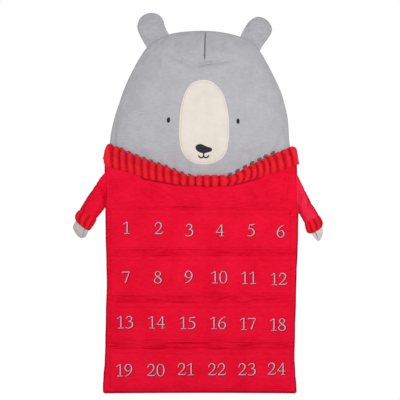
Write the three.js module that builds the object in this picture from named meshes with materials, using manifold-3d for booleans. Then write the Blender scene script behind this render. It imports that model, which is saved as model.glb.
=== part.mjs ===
// A hanging fabric advent calendar shaped as a bear in a red jumper: a stuffed head with a face
// and two ears, a ribbed plush collar, two stuffed arms, and a flat layered body that carries
// rows of pockets. Millimetres, +Z up. The wall is the plane y = 0 and the front looks along -Y,
// so a depth is a distance from the wall. The origin is where a hook bears inside the hanging loop.
// Left and right are as seen from the front.

import * as THREE from "three";
import { mergeVertices } from "three/addons/utils/BufferGeometryUtils.js";
import Module from "manifold-3d";

const wasm = await Module();
wasm.setup();

// Driving dimensions: cloth and sewing
const sewnGap = 0.3;
const cutOverrun = 1;
const velourThickness = 1.5;
const backFeltThickness = 1.2;
const interliningThickness = 3;
const jerseyThickness = 1.2;
const patchThickness = 1.5;
const stitchThickness = 1.2;

// Driving dimensions: body and pockets
const bodyWidth = 460;
const bodyLength = 567;
const neckSag = 58.5;
const yokeHeight = 70;
const sideMargin = 13;
const hemMargin = 9;
const stripSpacing = 16;
const pocketRows = 4;
const pocketColumns = 6;
const pocketGape = 8.5;
const pocketSeamHeight = 3;
const pocketRise = 12;
const mouthHemHeight = 12;
const mouthHemRelief = 1.2;

// Driving dimensions: head
const hookBelowCrown = 14;
const headHeight = 300;
const headInset = 12;
const headDepth = 46;
const headRimDepth = 12;
const headBackDepth = 1.5;
const headRimRise = 80;

// Driving dimensions: collar
const collarSideHeight = 47;
const collarMiddleHeight = 25;
const collarThickness = 11;
const collarTopLean = 15;
const collarOverhang = 2;
const collarRibs = 26;
const collarRibRelief = 4.5;
const collarRibTip = 3;

// Driving dimensions: face
const faceShift = 8.5;
const muzzleWidth = 121;
const muzzleHeight = 202;
const muzzleBelowCrown = 117;
const noseWidth = 40;
const noseHeight = 21.5;
const noseBelowMuzzleTop = 164;
const mouthWidth = 26;
const mouthDrop = 5.5;
const mouthStem = 8;
const mouthStroke = 2.2;
const eyeWidth = 7.5;
const eyeHeight = 13;
const eyeSpacing = 167;
const eyeBelowCrown = 214.5;

// Driving dimensions: ears
const earHeight = 69;
const earRadius = 32.5;
const earSeamWidth = 52;
const earThickness = 17;
const earUprightDegrees = 5;
const leftEarFromSide = 117;
const rightEarFromSide = 100;

// Driving dimensions: arms
const leftArm = {
  name: "left",
  side: -1,
  seamBelowNeck: 41,
  seamHeight: 79,
  length: 72.5,
  leanDegrees: 34,
  wristWidth: 45,
  cuffLength: 26,
  pawLength: 29,
};
const rightArm = {
  name: "right",
  side: 1,
  seamBelowNeck: 47,
  seamHeight: 94,
  length: 68,
  leanDegrees: 30,
  wristWidth: 38.5,
  cuffLength: 25,
  pawLength: 28,
};
const armFrontSwell = 13;
const armBackSwell = 5.4;
const cuffSwell = 2.2;
const cuffWall = 5;
const cuffBackWall = 2.2;
const cuffRibRelief = 1.6;
const cuffRibs = 9;

// Driving dimensions: hanging loop
const loopTapeWidth = 4.5;
const loopTapeThickness = 3;
const loopHoleWidth = 16;
const loopHoleHeight = 36;

// Shapes of curves, as shares of the sizes above
const headOutlineShares = { acrossPower: 2.7, upPower: 1.75 };
const pillowPowerShare = 2.4;
const ringCrowdingShare = 1.8;
const muzzleWidestShare = 0.6;
const muzzlePowerShares = { above: 2.4, below: 2.7 };
const noseWidestShare = 0.42;
const nosePowerShares = { above: 2.6, below: 1.6 };
const roundPowerShares = { above: 2, below: 2 };
const pocketAcrossShares = [0, 0.1, 0.3, 0.7, 0.9];
const pocketFullnessShares = [0, 0.72, 1, 1, 0.72];
const pocketRiseShare = 0.82;
const pocketMidHeightShare = 0.5;
const earSeamTurnShare = 0.125;
const collarNarrowShares = { from: 0.1, to: 0.8 };
const collarRibShares = [0, 0.2, 0.5, 0.8];
const collarRibFullnessShares = [0, 0.8, 1, 0.8];
const collarRowShares = [0, 0.06, 0.25, 0.5, 0.75, 0.94, 1];
const collarAboveSeamShare = 0.52;
const collarRoundPowerShare = 4;
const armTaperShare = 0.45;
const armCavityShare = 0.16;
const armRowShares = [0, 0.16, 0.32, 0.5, 0.75, 1];
const pawRowShares = [0, 0.45, 0.75, 0.93, 1];
const pawFullnessShares = [1, 0.93, 0.7, 0.38, 0];
const cuffRibShares = [0, 0.25, 0.5, 0.75];
const cuffRibFullnessShares = [0, 0.75, 1, 0.75];
const cuffRowShares = [0, 0.15, 0.5, 0.85, 1];
const cuffRoundShares = [0.45, 0.9, 1, 0.9, 0.45];

// How finely the soft shapes are divided
const crownSteps = 28;
const neckSteps = 12;
const headFrontRings = 6;
const headBackRings = 4;
const earSteps = 14;
const earRings = 3;
const muzzleSteps = 28;
const muzzleRings = 5;
const stitchSteps = 12;
const stitchRings = 2;
const limbSteps = 14;
const mouthSteps = 12;
const loopSteps = 12;

// Levels and depths that follow from the dimensions
const crownLevel = hookBelowCrown;
const neckEndLevel = crownLevel - headHeight;
const neckMiddleLevel = neckEndLevel - neckSag;
const hemLevel = neckEndLevel - bodyLength;
const bodyHalf = bodyWidth / 2;
const headHalf = bodyHalf - headInset;
const interliningDepth = backFeltThickness + sewnGap;
const frontPanelBack = interliningDepth + interliningThickness + sewnGap;
const frontPanelDepth = frontPanelBack + velourThickness;
const neckSeamDepth = frontPanelDepth / 2;
const stripBackDepth = frontPanelDepth + sewnGap;
const stripPitch = (neckMiddleLevel - yokeHeight - hemLevel - hemMargin + stripSpacing) / pocketRows;
const stripHeight = stripPitch - stripSpacing;
const stripHalf = bodyHalf - sideMargin;
const pocketPitch = (2 * stripHalf) / pocketColumns;

// Helpers: points, curves and closed solids

function at(x, depth, z) {
  return new THREE.Vector3(x, -depth, z);
}

function mix(from, to, share) {
  return from + (to - from) * share;
}

function smooth(from, to, value) {
  return THREE.MathUtils.smoothstep(value, from, to);
}

function steps(count) {
  return Array.from({ length: count }, (_, index) => index);
}

function signedPower(value, power) {
  return Math.sign(value) * Math.abs(value) ** power;
}

// A closed solid made of rings of points, each ring joined to the next. An end ring that has
// shrunk to a point or a line closes by itself, an open end is capped, and a loop of rings has no
// end. From the ring where a surface folds back, its squares are split along the other diagonal,
// so that both of its faces bend alike.
function ringSolid(rings, { loop = false, capped = false, foldedFrom = Infinity } = {}) {
  const count = rings[0].length;
  const positions = rings.flat().flatMap((point) => point.toArray());
  const triangles = [];
  const joined = loop ? rings.length : rings.length - 1;
  for (const row of steps(joined)) {
    const next = (row + 1) % rings.length;
    for (const column of steps(count)) {
      const beside = (column + 1) % count;
      const corners = [
        row * count + column,
        row * count + beside,
        next * count + beside,
        next * count + column,
      ];
      if (row >= foldedFrom) {
        triangles.push([corners[0], corners[1], corners[3]]);
        triangles.push([corners[1], corners[2], corners[3]]);
      } else {
        triangles.push([corners[0], corners[1], corners[2]]);
        triangles.push([corners[0], corners[2], corners[3]]);
      }
    }
  }
  if (capped) {
    const lastStart = (rings.length - 1) * count;
    zigzag(count).forEach(([a, b, c]) => triangles.push([c, b, a]));
    zigzag(count).forEach(([a, b, c]) => triangles.push([lastStart + a, lastStart + b, lastStart + c]));
  }
  return closedGeometry(positions, triangles);
}

// A solid between two faces, each made of rings that run from the middle or start outward.
function foldedSolid(outer, inner, options = {}) {
  return ringSolid([...outer, ...inner.reverse()], { ...options, foldedFrom: outer.length });
}

// Triangles across a ring, laced from its first and last points towards its middle.
function zigzag(count) {
  const laced = [];
  let low = 0;
  let high = count - 1;
  while (high - low > 1) {
    laced.push([low, low + 1, high]);
    low += 1;
    if (high - low > 1) {
      laced.push([low, high - 1, high]);
      high -= 1;
    }
  }
  return laced;
}

// Shared corners are merged, empty triangles dropped, and the faces turned outward.
function closedGeometry(positions, triangles) {
  const loose = new THREE.BufferGeometry();
  loose.setAttribute("position", new THREE.Float32BufferAttribute(positions, 3));
  loose.setIndex(triangles.flat());
  const merged = mergeVertices(loose);
  const index = Array.from(merged.index.array);
  const kept = [];
  for (const triangle of steps(index.length / 3)) {
    const [a, b, c] = index.slice(3 * triangle, 3 * triangle + 3);
    if (a !== b && b !== c && c !== a) {
      kept.push([a, b, c]);
    }
  }
  const outward = enclosedVolume(merged, kept) > 0;
  merged.setIndex(kept.flatMap(([a, b, c]) => (outward ? [a, b, c] : [a, c, b])));
  merged.computeVertexNormals();
  return merged;
}

function enclosedVolume(geometry, triangles) {
  const position = geometry.getAttribute("position");
  const corner = (index) => new THREE.Vector3().fromBufferAttribute(position, index);
  const sixfold = triangles.map(([a, b, c]) => corner(a).dot(corner(b).cross(corner(c))));
  return sixfold.reduce((sum, part) => sum + part, 0) / 6;
}

function toSolid(geometry) {
  const bare = new THREE.BufferGeometry();
  bare.setAttribute("position", geometry.getAttribute("position").clone());
  if (geometry.index) {
    bare.setIndex(geometry.index.clone());
  }
  const merged = mergeVertices(bare);
  const mesh = new wasm.Mesh({
    numProp: 3,
    vertProperties: new Float32Array(merged.getAttribute("position").array),
    triVerts: new Uint32Array(merged.index.array),
  });
  return new wasm.Manifold(mesh);
}

function toGeometry(solid) {
  const mesh = solid.getMesh();
  const geometry = new THREE.BufferGeometry();
  geometry.setAttribute("position", new THREE.Float32BufferAttribute(mesh.vertProperties, 3));
  geometry.setIndex(Array.from(mesh.triVerts));
  geometry.computeVertexNormals();
  return geometry;
}

function piece(name, geometry, color, roughness) {
  const material = new THREE.MeshStandardMaterial({ color, roughness, metalness: 0 });
  const mesh = new THREE.Mesh(geometry, material);
  mesh.name = name;
  return mesh;
}

// Neckline: lowest in the middle, between a parabola and a cosine bell

function necklineLevel(x) {
  const across = Math.min(Math.abs(x) / bodyHalf, 1);
  const parabola = 1 - across ** 2;
  const bell = (1 + Math.cos(Math.PI * across)) / 2;
  return neckEndLevel - neckSag * ((parabola + bell) / 2);
}

function necklineTurn(x) {
  const nudge = bodyHalf / neckSteps;
  return Math.atan2(necklineLevel(x + nudge) - necklineLevel(x - nudge), 2 * nudge);
}

const neckStops = steps(neckSteps + 1).map((step) => mix(headHalf, -headHalf, step / neckSteps));

// Stuffed shapes: a cushion has an outline round a middle, a depth at every point of its rim,
// and a crown in front and behind

const inwardOf = { front: -1, back: 1 };

function makeCushion(outline, middle, rimDepths, crowns) {
  return { outline, middle, rimDepths, crowns };
}

function domeHeight(share) {
  return Math.sqrt(Math.max(0, 1 - share ** pillowPowerShare));
}

function ringShare(ring, rings) {
  return 1 - (1 - ring / rings) ** ringCrowdingShare;
}

// One ring of a cushion's surface, drawn in by a shell thickness.
function cushionRing(cushion, face, share, shell, rimShift) {
  const crown = cushion.crowns[face] + inwardOf[face] * shell;
  return cushion.outline.map((edge, index) => {
    const reach = edge.distanceTo(cushion.middle);
    const place = cushion.middle.clone().lerp(edge, (share * (reach - shell)) / reach);
    const depth = mix(cushion.rimDepths[index] + rimShift, crown, domeHeight(share));
    return at(place.x, depth, place.y);
  });
}

function cushionRings(cushion, face, rings, shell, rimShift) {
  return steps(rings + 1).map((ring) => {
    return cushionRing(cushion, face, ringShare(ring, rings), shell, rimShift);
  });
}

// One cloth panel of a stuffed shape: its outer face, and its inner face a thickness inside.
function cushionPanel(cushion, face, rings) {
  const rimShift = (-inwardOf[face] * sewnGap) / 2;
  const outer = cushionRings(cushion, face, rings, 0, rimShift);
  const inner = cushionRings(cushion, face, rings, jerseyThickness, rimShift);
  return foldedSolid(outer, inner);
}

function cushionFilling(cushion, frontRings, backRings, shell) {
  const front = cushionRings(cushion, "front", frontRings, shell, 0);
  const back = cushionRings(cushion, "back", backRings, shell, 0);
  return foldedSolid(front, back);
}

// Depth of a cushion's front or back face over a point of the wall plane.
function cushionDepth(cushion, face, x, z) {
  const place = new THREE.Vector2(x, z).sub(cushion.middle);
  const count = cushion.outline.length;
  for (const index of steps(count)) {
    const next = (index + 1) % count;
    const start = cushion.outline[index].clone().sub(cushion.middle);
    const along = cushion.outline[next].clone().sub(cushion.outline[index]);
    const facing = place.cross(along);
    const share = -place.cross(start) / facing;
    const reach = start.cross(along) / facing;
    if (reach > 0 && share >= 0 && share <= 1) {
      const rim = mix(cushion.rimDepths[index], cushion.rimDepths[next], share);
      return mix(rim, cushion.crowns[face], domeHeight(Math.min(1 / reach, 1)));
    }
  }
  return cushion.crowns[face];
}

// Head: its crown and sides are one superellipse, its lower edge is the neckline

function headOutline() {
  const sideLevel = necklineLevel(headHalf);
  const crown = steps(crownSteps + 1).map((step) => {
    const turn = Math.PI * (1 - step / crownSteps);
    const across = signedPower(Math.cos(turn), 2 / headOutlineShares.acrossPower);
    const up = Math.abs(Math.sin(turn)) ** (2 / headOutlineShares.upPower);
    return new THREE.Vector2(headHalf * across, mix(sideLevel, crownLevel, up));
  });
  const inner = neckStops.slice(1, -1);
  return [...crown, ...inner.map((x) => new THREE.Vector2(x, necklineLevel(x)))];
}

function headRimDepths(outline) {
  return outline.map((edge) => {
    const lift = smooth(0, headRimRise, edge.y - necklineLevel(headHalf));
    return mix(neckSeamDepth, headRimDepth, lift);
  });
}

function makeHead(grown) {
  const middle = new THREE.Vector2(0, crownLevel - headHeight / 2);
  const outline = headOutline().map((edge) => {
    const reach = edge.distanceTo(middle);
    return middle.clone().lerp(edge, (reach + grown) / reach);
  });
  const crowns = { front: headDepth + grown, back: headBackDepth };
  return makeCushion(outline, middle, headRimDepths(outline), crowns);
}

const head = makeHead(0);

function headFrontDepth(x, z) {
  return cushionDepth(head, "front", x, z);
}

function headPieces() {
  const shell = jerseyThickness + sewnGap;
  return [
    piece("head_front", cushionPanel(head, "front", headFrontRings), 0xb6b5b9, 0.95),
    piece("head_back", cushionPanel(head, "back", headBackRings), 0xb6b5b9, 0.95),
    piece("head_filling", cushionFilling(head, headFrontRings, headBackRings, shell), 0xf4f4f2, 1),
  ];
}

// Face: thin patches draped over the head's front

function eggOutline(halfWidth, above, below, powers, count) {
  return steps(count).map((step) => {
    const turn = (2 * Math.PI * step) / count;
    const power = Math.sin(turn) > 0 ? powers.above : powers.below;
    const x = halfWidth * signedPower(Math.cos(turn), 2 / power);
    const height = Math.sin(turn) > 0 ? above : below;
    return new THREE.Vector2(x, height * signedPower(Math.sin(turn), 2 / power));
  });
}

function drapedPatch(outline, centreX, centreZ, rings, baseDepth, thickness) {
  const drape = (share, lift) => outline.map((edge) => {
    const x = centreX + share * edge.x;
    const z = centreZ + share * edge.y;
    return at(x, headFrontDepth(x, z) + baseDepth + lift, z);
  });
  const front = steps(rings + 1).map((ring) => {
    const share = ringShare(ring, rings);
    return drape(share, ring === rings ? thickness / 2 : thickness);
  });
  const back = steps(rings + 1).map((ring) => drape(ringShare(ring, rings), 0));
  return foldedSolid(front, back);
}

const muzzleTop = crownLevel - muzzleBelowCrown;
const muzzleCentre = muzzleTop - muzzleHeight * muzzleWidestShare;
const onMuzzle = sewnGap + patchThickness + sewnGap;
const noseTop = muzzleTop - noseBelowMuzzleTop + noseHeight / 2;
const noseCentre = noseTop - noseHeight * noseWidestShare;

function muzzlePatch() {
  const above = muzzleHeight * muzzleWidestShare;
  const outline = eggOutline(muzzleWidth / 2, above, muzzleHeight - above, muzzlePowerShares, muzzleSteps);
  const geometry = drapedPatch(outline, faceShift, muzzleCentre, muzzleRings, sewnGap, patchThickness);
  return piece("muzzle_patch", geometry, 0xe9e0d4, 0.95);
}

function nose() {
  const above = noseHeight * noseWidestShare;
  const outline = eggOutline(noseWidth / 2, above, noseHeight - above, nosePowerShares, muzzleSteps / 2);
  const geometry = drapedPatch(outline, faceShift, noseCentre, stitchRings, onMuzzle, stitchThickness);
  return piece("nose", geometry, 0x333338, 0.8);
}

// A stitched stroke along points of the face, draped over the muzzle patch.
function stitchedStroke(points) {
  const half = mouthStroke / 2;
  const rings = points.map((point, index) => {
    const before = points[Math.max(index - 1, 0)];
    const after = points[Math.min(index + 1, points.length - 1)];
    const across = after.clone().sub(before).normalize().rotateAround(new THREE.Vector2(), Math.PI / 2);
    const corner = (side, lift) => {
      const place = point.clone().addScaledVector(across, side * half);
      return at(place.x, headFrontDepth(place.x, place.y) + onMuzzle + lift, place.y);
    };
    return [corner(-1, 0), corner(-1, stitchThickness), corner(1, stitchThickness), corner(1, 0)];
  });
  return ringSolid(rings, { capped: true });
}

function mouth() {
  const stemTop = noseTop - noseHeight - sewnGap;
  const smileTop = stemTop - mouthStem;
  const curve = steps(mouthSteps + 1).map((step) => {
    const across = mix(-1, 1, step / mouthSteps);
    const dip = Math.abs(Math.sin(Math.PI * across));
    return new THREE.Vector2(faceShift + (across * mouthWidth) / 2, smileTop - mouthDrop * dip);
  });
  const stem = [
    new THREE.Vector2(faceShift, stemTop),
    new THREE.Vector2(faceShift, smileTop - mouthStroke / 2),
  ];
  const joined = toSolid(stitchedStroke(curve)).add(toSolid(stitchedStroke(stem)));
  return piece("mouth", toGeometry(joined), 0x333338, 0.8);
}

function eye(name, side) {
  const outline = eggOutline(eyeWidth / 2, eyeHeight / 2, eyeHeight / 2, roundPowerShares, stitchSteps);
  const x = faceShift + (side * eyeSpacing) / 2;
  const z = crownLevel - eyeBelowCrown;
  return piece(name, drapedPatch(outline, x, z, stitchRings, sewnGap, stitchThickness), 0x28282d, 0.6);
}

// Ears: flat stuffed rounds, sewn along a straight seam to the rim of the head

function earOutline() {
  const centre = earHeight - earRadius;
  const seamHalf = earSeamWidth / 2;
  const turnAtSeam = Math.PI * earSeamTurnShare;
  const round = steps(earSteps - 1).map((step) => {
    const turn = mix(-turnAtSeam, Math.PI + turnAtSeam, step / (earSteps - 2));
    return new THREE.Vector2(earRadius * Math.cos(turn), centre + earRadius * Math.sin(turn));
  });
  return [new THREE.Vector2(seamHalf, 0), ...round, new THREE.Vector2(-seamHalf, 0)];
}

function makeEar() {
  const outline = earOutline();
  const middle = new THREE.Vector2(0, earHeight / 2);
  const half = earThickness / 2;
  return makeCushion(outline, middle, outline.map(() => 0), { front: half, back: -half });
}

// Where an ear's seam lies: its middle and its outward direction, which is nearly square to the
// head's rim, but a little more upright. The seam just clears the rim.
function earSeat(fromSide, side) {
  const sideLevel = necklineLevel(headHalf);
  const rimLevel = (x) => {
    const across = (Math.abs(x) / headHalf) ** headOutlineShares.acrossPower;
    return mix(sideLevel, crownLevel, (1 - across) ** (1 / headOutlineShares.upPower));
  };
  const x = side * (headHalf - fromSide);
  const reach = earSeamWidth / 2;
  const slope = (rimLevel(x + reach) - rimLevel(x - reach)) / (2 * reach);
  const upright = side * THREE.MathUtils.degToRad(earUprightDegrees);
  const outward = new THREE.Vector2(-slope, 1).normalize().rotateAround(new THREE.Vector2(), upright);
  const rim = new THREE.Vector2(x, rimLevel(x));
  const farthest = Math.max(...head.outline.map((edge) => edge.dot(outward)));
  rim.addScaledVector(outward, farthest - rim.dot(outward) + sewnGap);
  return { rim, turn: Math.atan2(outward.x, outward.y) };
}

function ear(name, fromSide, side) {
  const cushion = makeEar();
  const shell = jerseyThickness + sewnGap;
  const seat = earSeat(fromSide, side);
  const group = new THREE.Group();
  group.position.copy(at(seat.rim.x, headRimDepth, seat.rim.y));
  group.rotation.y = seat.turn;
  group.add(piece(`${name}_front`, cushionPanel(cushion, "front", earRings), 0xacabb1, 0.95));
  group.add(piece(`${name}_back`, cushionPanel(cushion, "back", earRings), 0xacabb1, 0.95));
  group.add(piece(`${name}_filling`, cushionFilling(cushion, earRings, earRings, shell), 0xf4f4f2, 1));
  return group;
}

// Body: back felt, interlining and a front panel whose edges are turned back to the felt

function bodyOutline(inset) {
  const half = bodyHalf - inset;
  const drop = sewnGap + inset;
  const top = (x) => necklineLevel(x) - drop / Math.cos(necklineTurn(x));
  const inner = neckStops.filter((x) => Math.abs(x) < half);
  const topEdge = [half, ...inner, -half].map((x) => new THREE.Vector2(x, top(x)));
  const bottom = hemLevel + inset;
  return [...topEdge, new THREE.Vector2(-half, bottom), new THREE.Vector2(half, bottom)];
}

function layer(outline, fromDepth, toDepth) {
  const ring = (depth) => outline.map((edge) => at(edge.x, depth, edge.y));
  const shape = new THREE.Shape(outline);
  const faces = THREE.ShapeUtils.triangulateShape(shape.getPoints(), []);
  const count = outline.length;
  const positions = [...ring(fromDepth), ...ring(toDepth)].flatMap((point) => point.toArray());
  const triangles = faces.flatMap(([a, b, c]) => [[a, b, c], [count + c, count + b, count + a]]);
  for (const index of steps(count)) {
    const next = (index + 1) % count;
    triangles.push([index, count + index, next]);
    triangles.push([next, count + index, count + next]);
  }
  return closedGeometry(positions, triangles);
}

function bodyLayers() {
  const turnedEdge = velourThickness + sewnGap;
  const tray = toSolid(layer(bodyOutline(0), interliningDepth, frontPanelDepth));
  const bay = toSolid(layer(bodyOutline(velourThickness), interliningDepth - cutOverrun, frontPanelBack));
  const lining = layer(bodyOutline(turnedEdge), interliningDepth, frontPanelBack - sewnGap);
  return [
    piece("back_panel", layer(bodyOutline(0), 0, backFeltThickness), 0xd81430, 0.95),
    piece("interlining", lining, 0xeeeeea, 1),
    piece("front_panel", toGeometry(tray.subtract(bay)), 0xe91433, 0.95),
  ];
}

// Pockets: each row is one strip of cloth, sewn down along its lower edge, its two ends and the
// lines between its pockets, and slack at its mouths

function stripColumns() {
  const columns = [];
  for (const pocket of steps(pocketColumns)) {
    for (const [index, share] of pocketAcrossShares.entries()) {
      const x = -stripHalf + pocketPitch * (pocket + share);
      columns.push({ x, fullness: pocketFullnessShares[index] });
    }
  }
  columns.push({ x: stripHalf, fullness: 0 });
  return columns;
}

function stripRows() {
  const foldHeight = stripHeight - mouthHemHeight;
  return [
    { height: 0, fullness: 0, relief: 0 },
    { height: pocketSeamHeight, fullness: 0, relief: 0 },
    { height: pocketSeamHeight + pocketRise, fullness: pocketRiseShare, relief: 0 },
    { height: mix(pocketSeamHeight + pocketRise, foldHeight, pocketMidHeightShare), fullness: 1, relief: 0 },
    { height: foldHeight - mouthHemRelief / 2, fullness: 1, relief: 0 },
    { height: foldHeight, fullness: 1, relief: mouthHemRelief },
    { height: stripHeight, fullness: 1, relief: mouthHemRelief },
  ];
}

function stripTop(row) {
  return hemLevel + hemMargin + stripHeight + (pocketRows - 1 - row) * stripPitch;
}

function pocketStrip(row) {
  const bottom = stripTop(row) - stripHeight;
  const rows = stripRows();
  const rings = stripColumns().map((column) => {
    const slack = (line) => stripBackDepth + pocketGape * column.fullness * line.fullness;
    const front = rows.map((line) => {
      return at(column.x, slack(line) + velourThickness + line.relief, bottom + line.height);
    });
    const back = rows.map((line) => at(column.x, slack(line), bottom + line.height));
    return [...front, ...back.reverse()];
  });
  return piece(`pocket_row_${row + 1}`, ringSolid(rings, { capped: true }), 0xe61231, 0.95);
}

// Collar: a plump ribbed band over the neck seam, wide at its sides and narrow under the chin

function collarHeight(share) {
  const widened = smooth(collarNarrowShares.from, collarNarrowShares.to, Math.abs(share));
  return mix(collarMiddleHeight, collarSideHeight, widened);
}

function collarStations() {
  const stations = [];
  for (const rib of steps(collarRibs)) {
    for (const [index, share] of collarRibShares.entries()) {
      const along = (rib + share) / collarRibs;
      stations.push({ share: mix(-1, 1, along), fullness: collarRibFullnessShares[index] });
    }
  }
  stations.push({ share: 1, fullness: 0 });
  return stations;
}

function collarRing({ share, fullness }) {
  const x = share * (bodyHalf + collarOverhang);
  const turn = necklineTurn(THREE.MathUtils.clamp(x, -bodyHalf, bodyHalf));
  const height = collarHeight(share) - 2 * collarRibTip * (1 - fullness);
  const thickness = collarThickness - collarRibRelief * (1 - fullness);
  return collarRowShares.map((row) => {
    const up = height * (row - 1 + collarAboveSeamShare);
    const swell = Math.sqrt(Math.max(0, 1 - (2 * row - 1) ** collarRoundPowerShare));
    const lean = swell > 0 ? collarTopLean * Math.sin((Math.PI / 2) * row) : 0;
    const place = new THREE.Vector2(x - up * Math.sin(turn), necklineLevel(x) + up * Math.cos(turn));
    return at(place.x, stripBackDepth + lean + thickness * swell, place.y);
  });
}

function collar() {
  const band = toSolid(ringSolid(collarStations().map(collarRing), { capped: true }));
  const grownHead = makeHead(sewnGap);
  const room = toSolid(cushionFilling(grownHead, headFrontRings, headBackRings, 0));
  return piece("collar", toGeometry(band.subtract(room)), 0xd8202b, 1);
}

// Arms: each hangs from a vertical seam at the body's side, and ends in a ribbed cuff and a paw

function armDirection(arm) {
  const lean = THREE.MathUtils.degToRad(arm.leanDegrees);
  return new THREE.Vector2(Math.sin(lean), -Math.cos(lean));
}

function wristAcross(arm) {
  const along = armDirection(arm);
  return new THREE.Vector2(-along.y, along.x);
}

// A ring round a limb: an oval across its centre, deeper in front than behind.
function limbRing(arm, centre, halfAcross, front, back) {
  return steps(limbSteps).map((step) => {
    return limbPoint(arm, centre, halfAcross, front, back, step / limbSteps, 0);
  });
}

function limbPoint(arm, centre, halfAcross, front, back, share, swell) {
  const turn = 2 * Math.PI * share;
  const grown = halfAcross.length() + swell;
  const across = halfAcross.clone().setLength(grown).multiplyScalar(Math.cos(turn));
  const swollen = (Math.sin(turn) > 0 ? front + swell : back) * Math.sin(turn);
  return at(arm.side * (centre.x + across.x), swollen, centre.y + across.y);
}

function sleeveRing(arm, share, shell) {
  const wrist = armDirection(arm).multiplyScalar(arm.length);
  const centre = wrist.clone().multiplyScalar(share);
  const seam = new THREE.Vector2(0, arm.seamHeight / 2);
  const halfAcross = seam.lerp(wristAcross(arm).multiplyScalar(arm.wristWidth / 2), share);
  halfAcross.setLength(halfAcross.length() - shell);
  const swell = Math.sin((Math.PI / 2) * Math.min(share / armTaperShare, 1));
  const open = shell > 0 && share <= armCavityShare ? 0 : 1;
  const front = Math.max(armFrontSwell * swell - shell, 0) * open;
  const back = Math.max(armBackSwell * swell - shell, 0) * open;
  return limbRing(arm, centre, halfAcross, front, back);
}

function sleeve(arm) {
  const outer = armRowShares.map((share) => sleeveRing(arm, share, 0));
  const cavity = armRowShares.filter((share) => share >= armCavityShare);
  const inner = cavity.map((share) => sleeveRing(arm, share, velourThickness));
  return foldedSolid(outer, inner);
}

function armFilling(arm) {
  const cavity = armRowShares.filter((share) => share >= armCavityShare);
  const shell = velourThickness + sewnGap;
  return ringSolid(cavity.map((share) => sleeveRing(arm, share, shell)), { capped: true });
}

function cuffSizes(arm) {
  const outer = arm.wristWidth / 2 + cuffSwell;
  return {
    outer,
    front: armFrontSwell + cuffSwell,
    back: armBackSwell,
    bore: outer - cuffWall,
    boreFront: armFrontSwell + cuffSwell - cuffWall,
    boreBack: armBackSwell - cuffBackWall,
  };
}

function cuffRing(arm, along, shares, across, front, back, ribbed) {
  const centre = armDirection(arm).multiplyScalar(arm.length + along);
  const halfAcross = wristAcross(arm).multiplyScalar(across);
  return shares.map(({ share, fullness }) => {
    const ribLift = ribbed * cuffRibRelief * (fullness - 1);
    return limbPoint(arm, centre, halfAcross, front, back, share, ribLift);
  });
}

function cuff(arm) {
  const size = cuffSizes(arm);
  const shares = steps(cuffRibs).flatMap((rib) => {
    return cuffRibShares.map((share, index) => ({
      share: (rib + share) / cuffRibs,
      fullness: cuffRibFullnessShares[index],
    }));
  });
  const outer = cuffRowShares.map((row, index) => {
    const drawnIn = cuffSwell * (1 - cuffRoundShares[index]);
    const along = sewnGap + arm.cuffLength * row;
    return cuffRing(arm, along, shares, size.outer - drawnIn, size.front - drawnIn, size.back, 1);
  });
  const inner = [1, 0].map((row) => {
    const along = sewnGap + arm.cuffLength * row;
    return cuffRing(arm, along, shares, size.bore, size.boreFront, size.boreBack, 0);
  });
  return ringSolid([...outer, ...inner], { loop: true });
}

function paw(arm) {
  const size = cuffSizes(arm);
  const ring = (along, fullness) => {
    const centre = armDirection(arm).multiplyScalar(arm.length + along);
    const halfAcross = wristAcross(arm).multiplyScalar((size.bore - sewnGap) * fullness);
    const front = (size.boreFront - sewnGap) * fullness;
    const back = (size.boreBack - sewnGap) * fullness;
    return limbRing(arm, centre, halfAcross, front, back);
  };
  const inCuff = [ring(sewnGap, 1)];
  const beyond = pawRowShares.map((share, index) => {
    return ring(arm.cuffLength + arm.pawLength * share, pawFullnessShares[index]);
  });
  return ringSolid([...inCuff, ...beyond], { capped: true });
}

function armPieces(arm) {
  const group = new THREE.Group();
  const seamMiddle = neckEndLevel - arm.seamBelowNeck - arm.seamHeight / 2;
  group.position.copy(at(arm.side * (bodyHalf + sewnGap), frontPanelDepth, seamMiddle));
  group.add(piece(`sleeve_${arm.name}`, sleeve(arm), 0xe61433, 0.95));
  group.add(piece(`arm_filling_${arm.name}`, armFilling(arm), 0xf4f4f2, 1));
  group.add(piece(`cuff_${arm.name}`, cuff(arm), 0xd01628, 1));
  group.add(piece(`paw_${arm.name}`, paw(arm), 0xbebbba, 0.95));
  return group;
}

// Hanging loop: a narrow cloth tape, sewn to the head's back panel by both feet

function hangingLoop() {
  const bend = (loopHoleWidth + loopTapeWidth) / 2;
  const rise = loopHoleHeight - loopHoleWidth / 2;
  const foot = -loopHoleHeight;
  const start = new THREE.Vector3(-bend, 0, 0);
  const shoulder = new THREE.Vector3(-bend, 0, rise);
  const arc = steps(loopSteps + 1).map((step) => {
    const turn = Math.PI * (1 - step / loopSteps);
    return new THREE.Vector3(bend * Math.cos(turn), 0, rise + bend * Math.sin(turn));
  });
  const stops = [start, shoulder, ...arc.slice(1), new THREE.Vector3(bend, 0, 0)];
  const halfWidth = loopTapeWidth / 2;
  const halfThickness = loopTapeThickness / 2;
  const rings = stops.map((stop, index) => {
    const before = stops[Math.max(index - 1, 0)];
    const after = stops[Math.min(index + 1, stops.length - 1)];
    const along = after.clone().sub(before).normalize();
    const side = new THREE.Vector3(along.z, 0, -along.x);
    return [[-1, -1], [1, -1], [1, 1], [-1, 1]].map(([across, through]) => {
      const corner = stop.clone().addScaledVector(side, across * halfWidth);
      return corner.add(new THREE.Vector3(0, through * halfThickness, 0));
    });
  });
  const mesh = piece("hanging_loop", ringSolid(rings, { capped: true }), 0xc9c8cc, 0.9);
  const skin = cushionDepth(head, "back", bend, foot);
  mesh.position.copy(at(0, skin - sewnGap - halfThickness, foot));
  return mesh;
}

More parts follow.
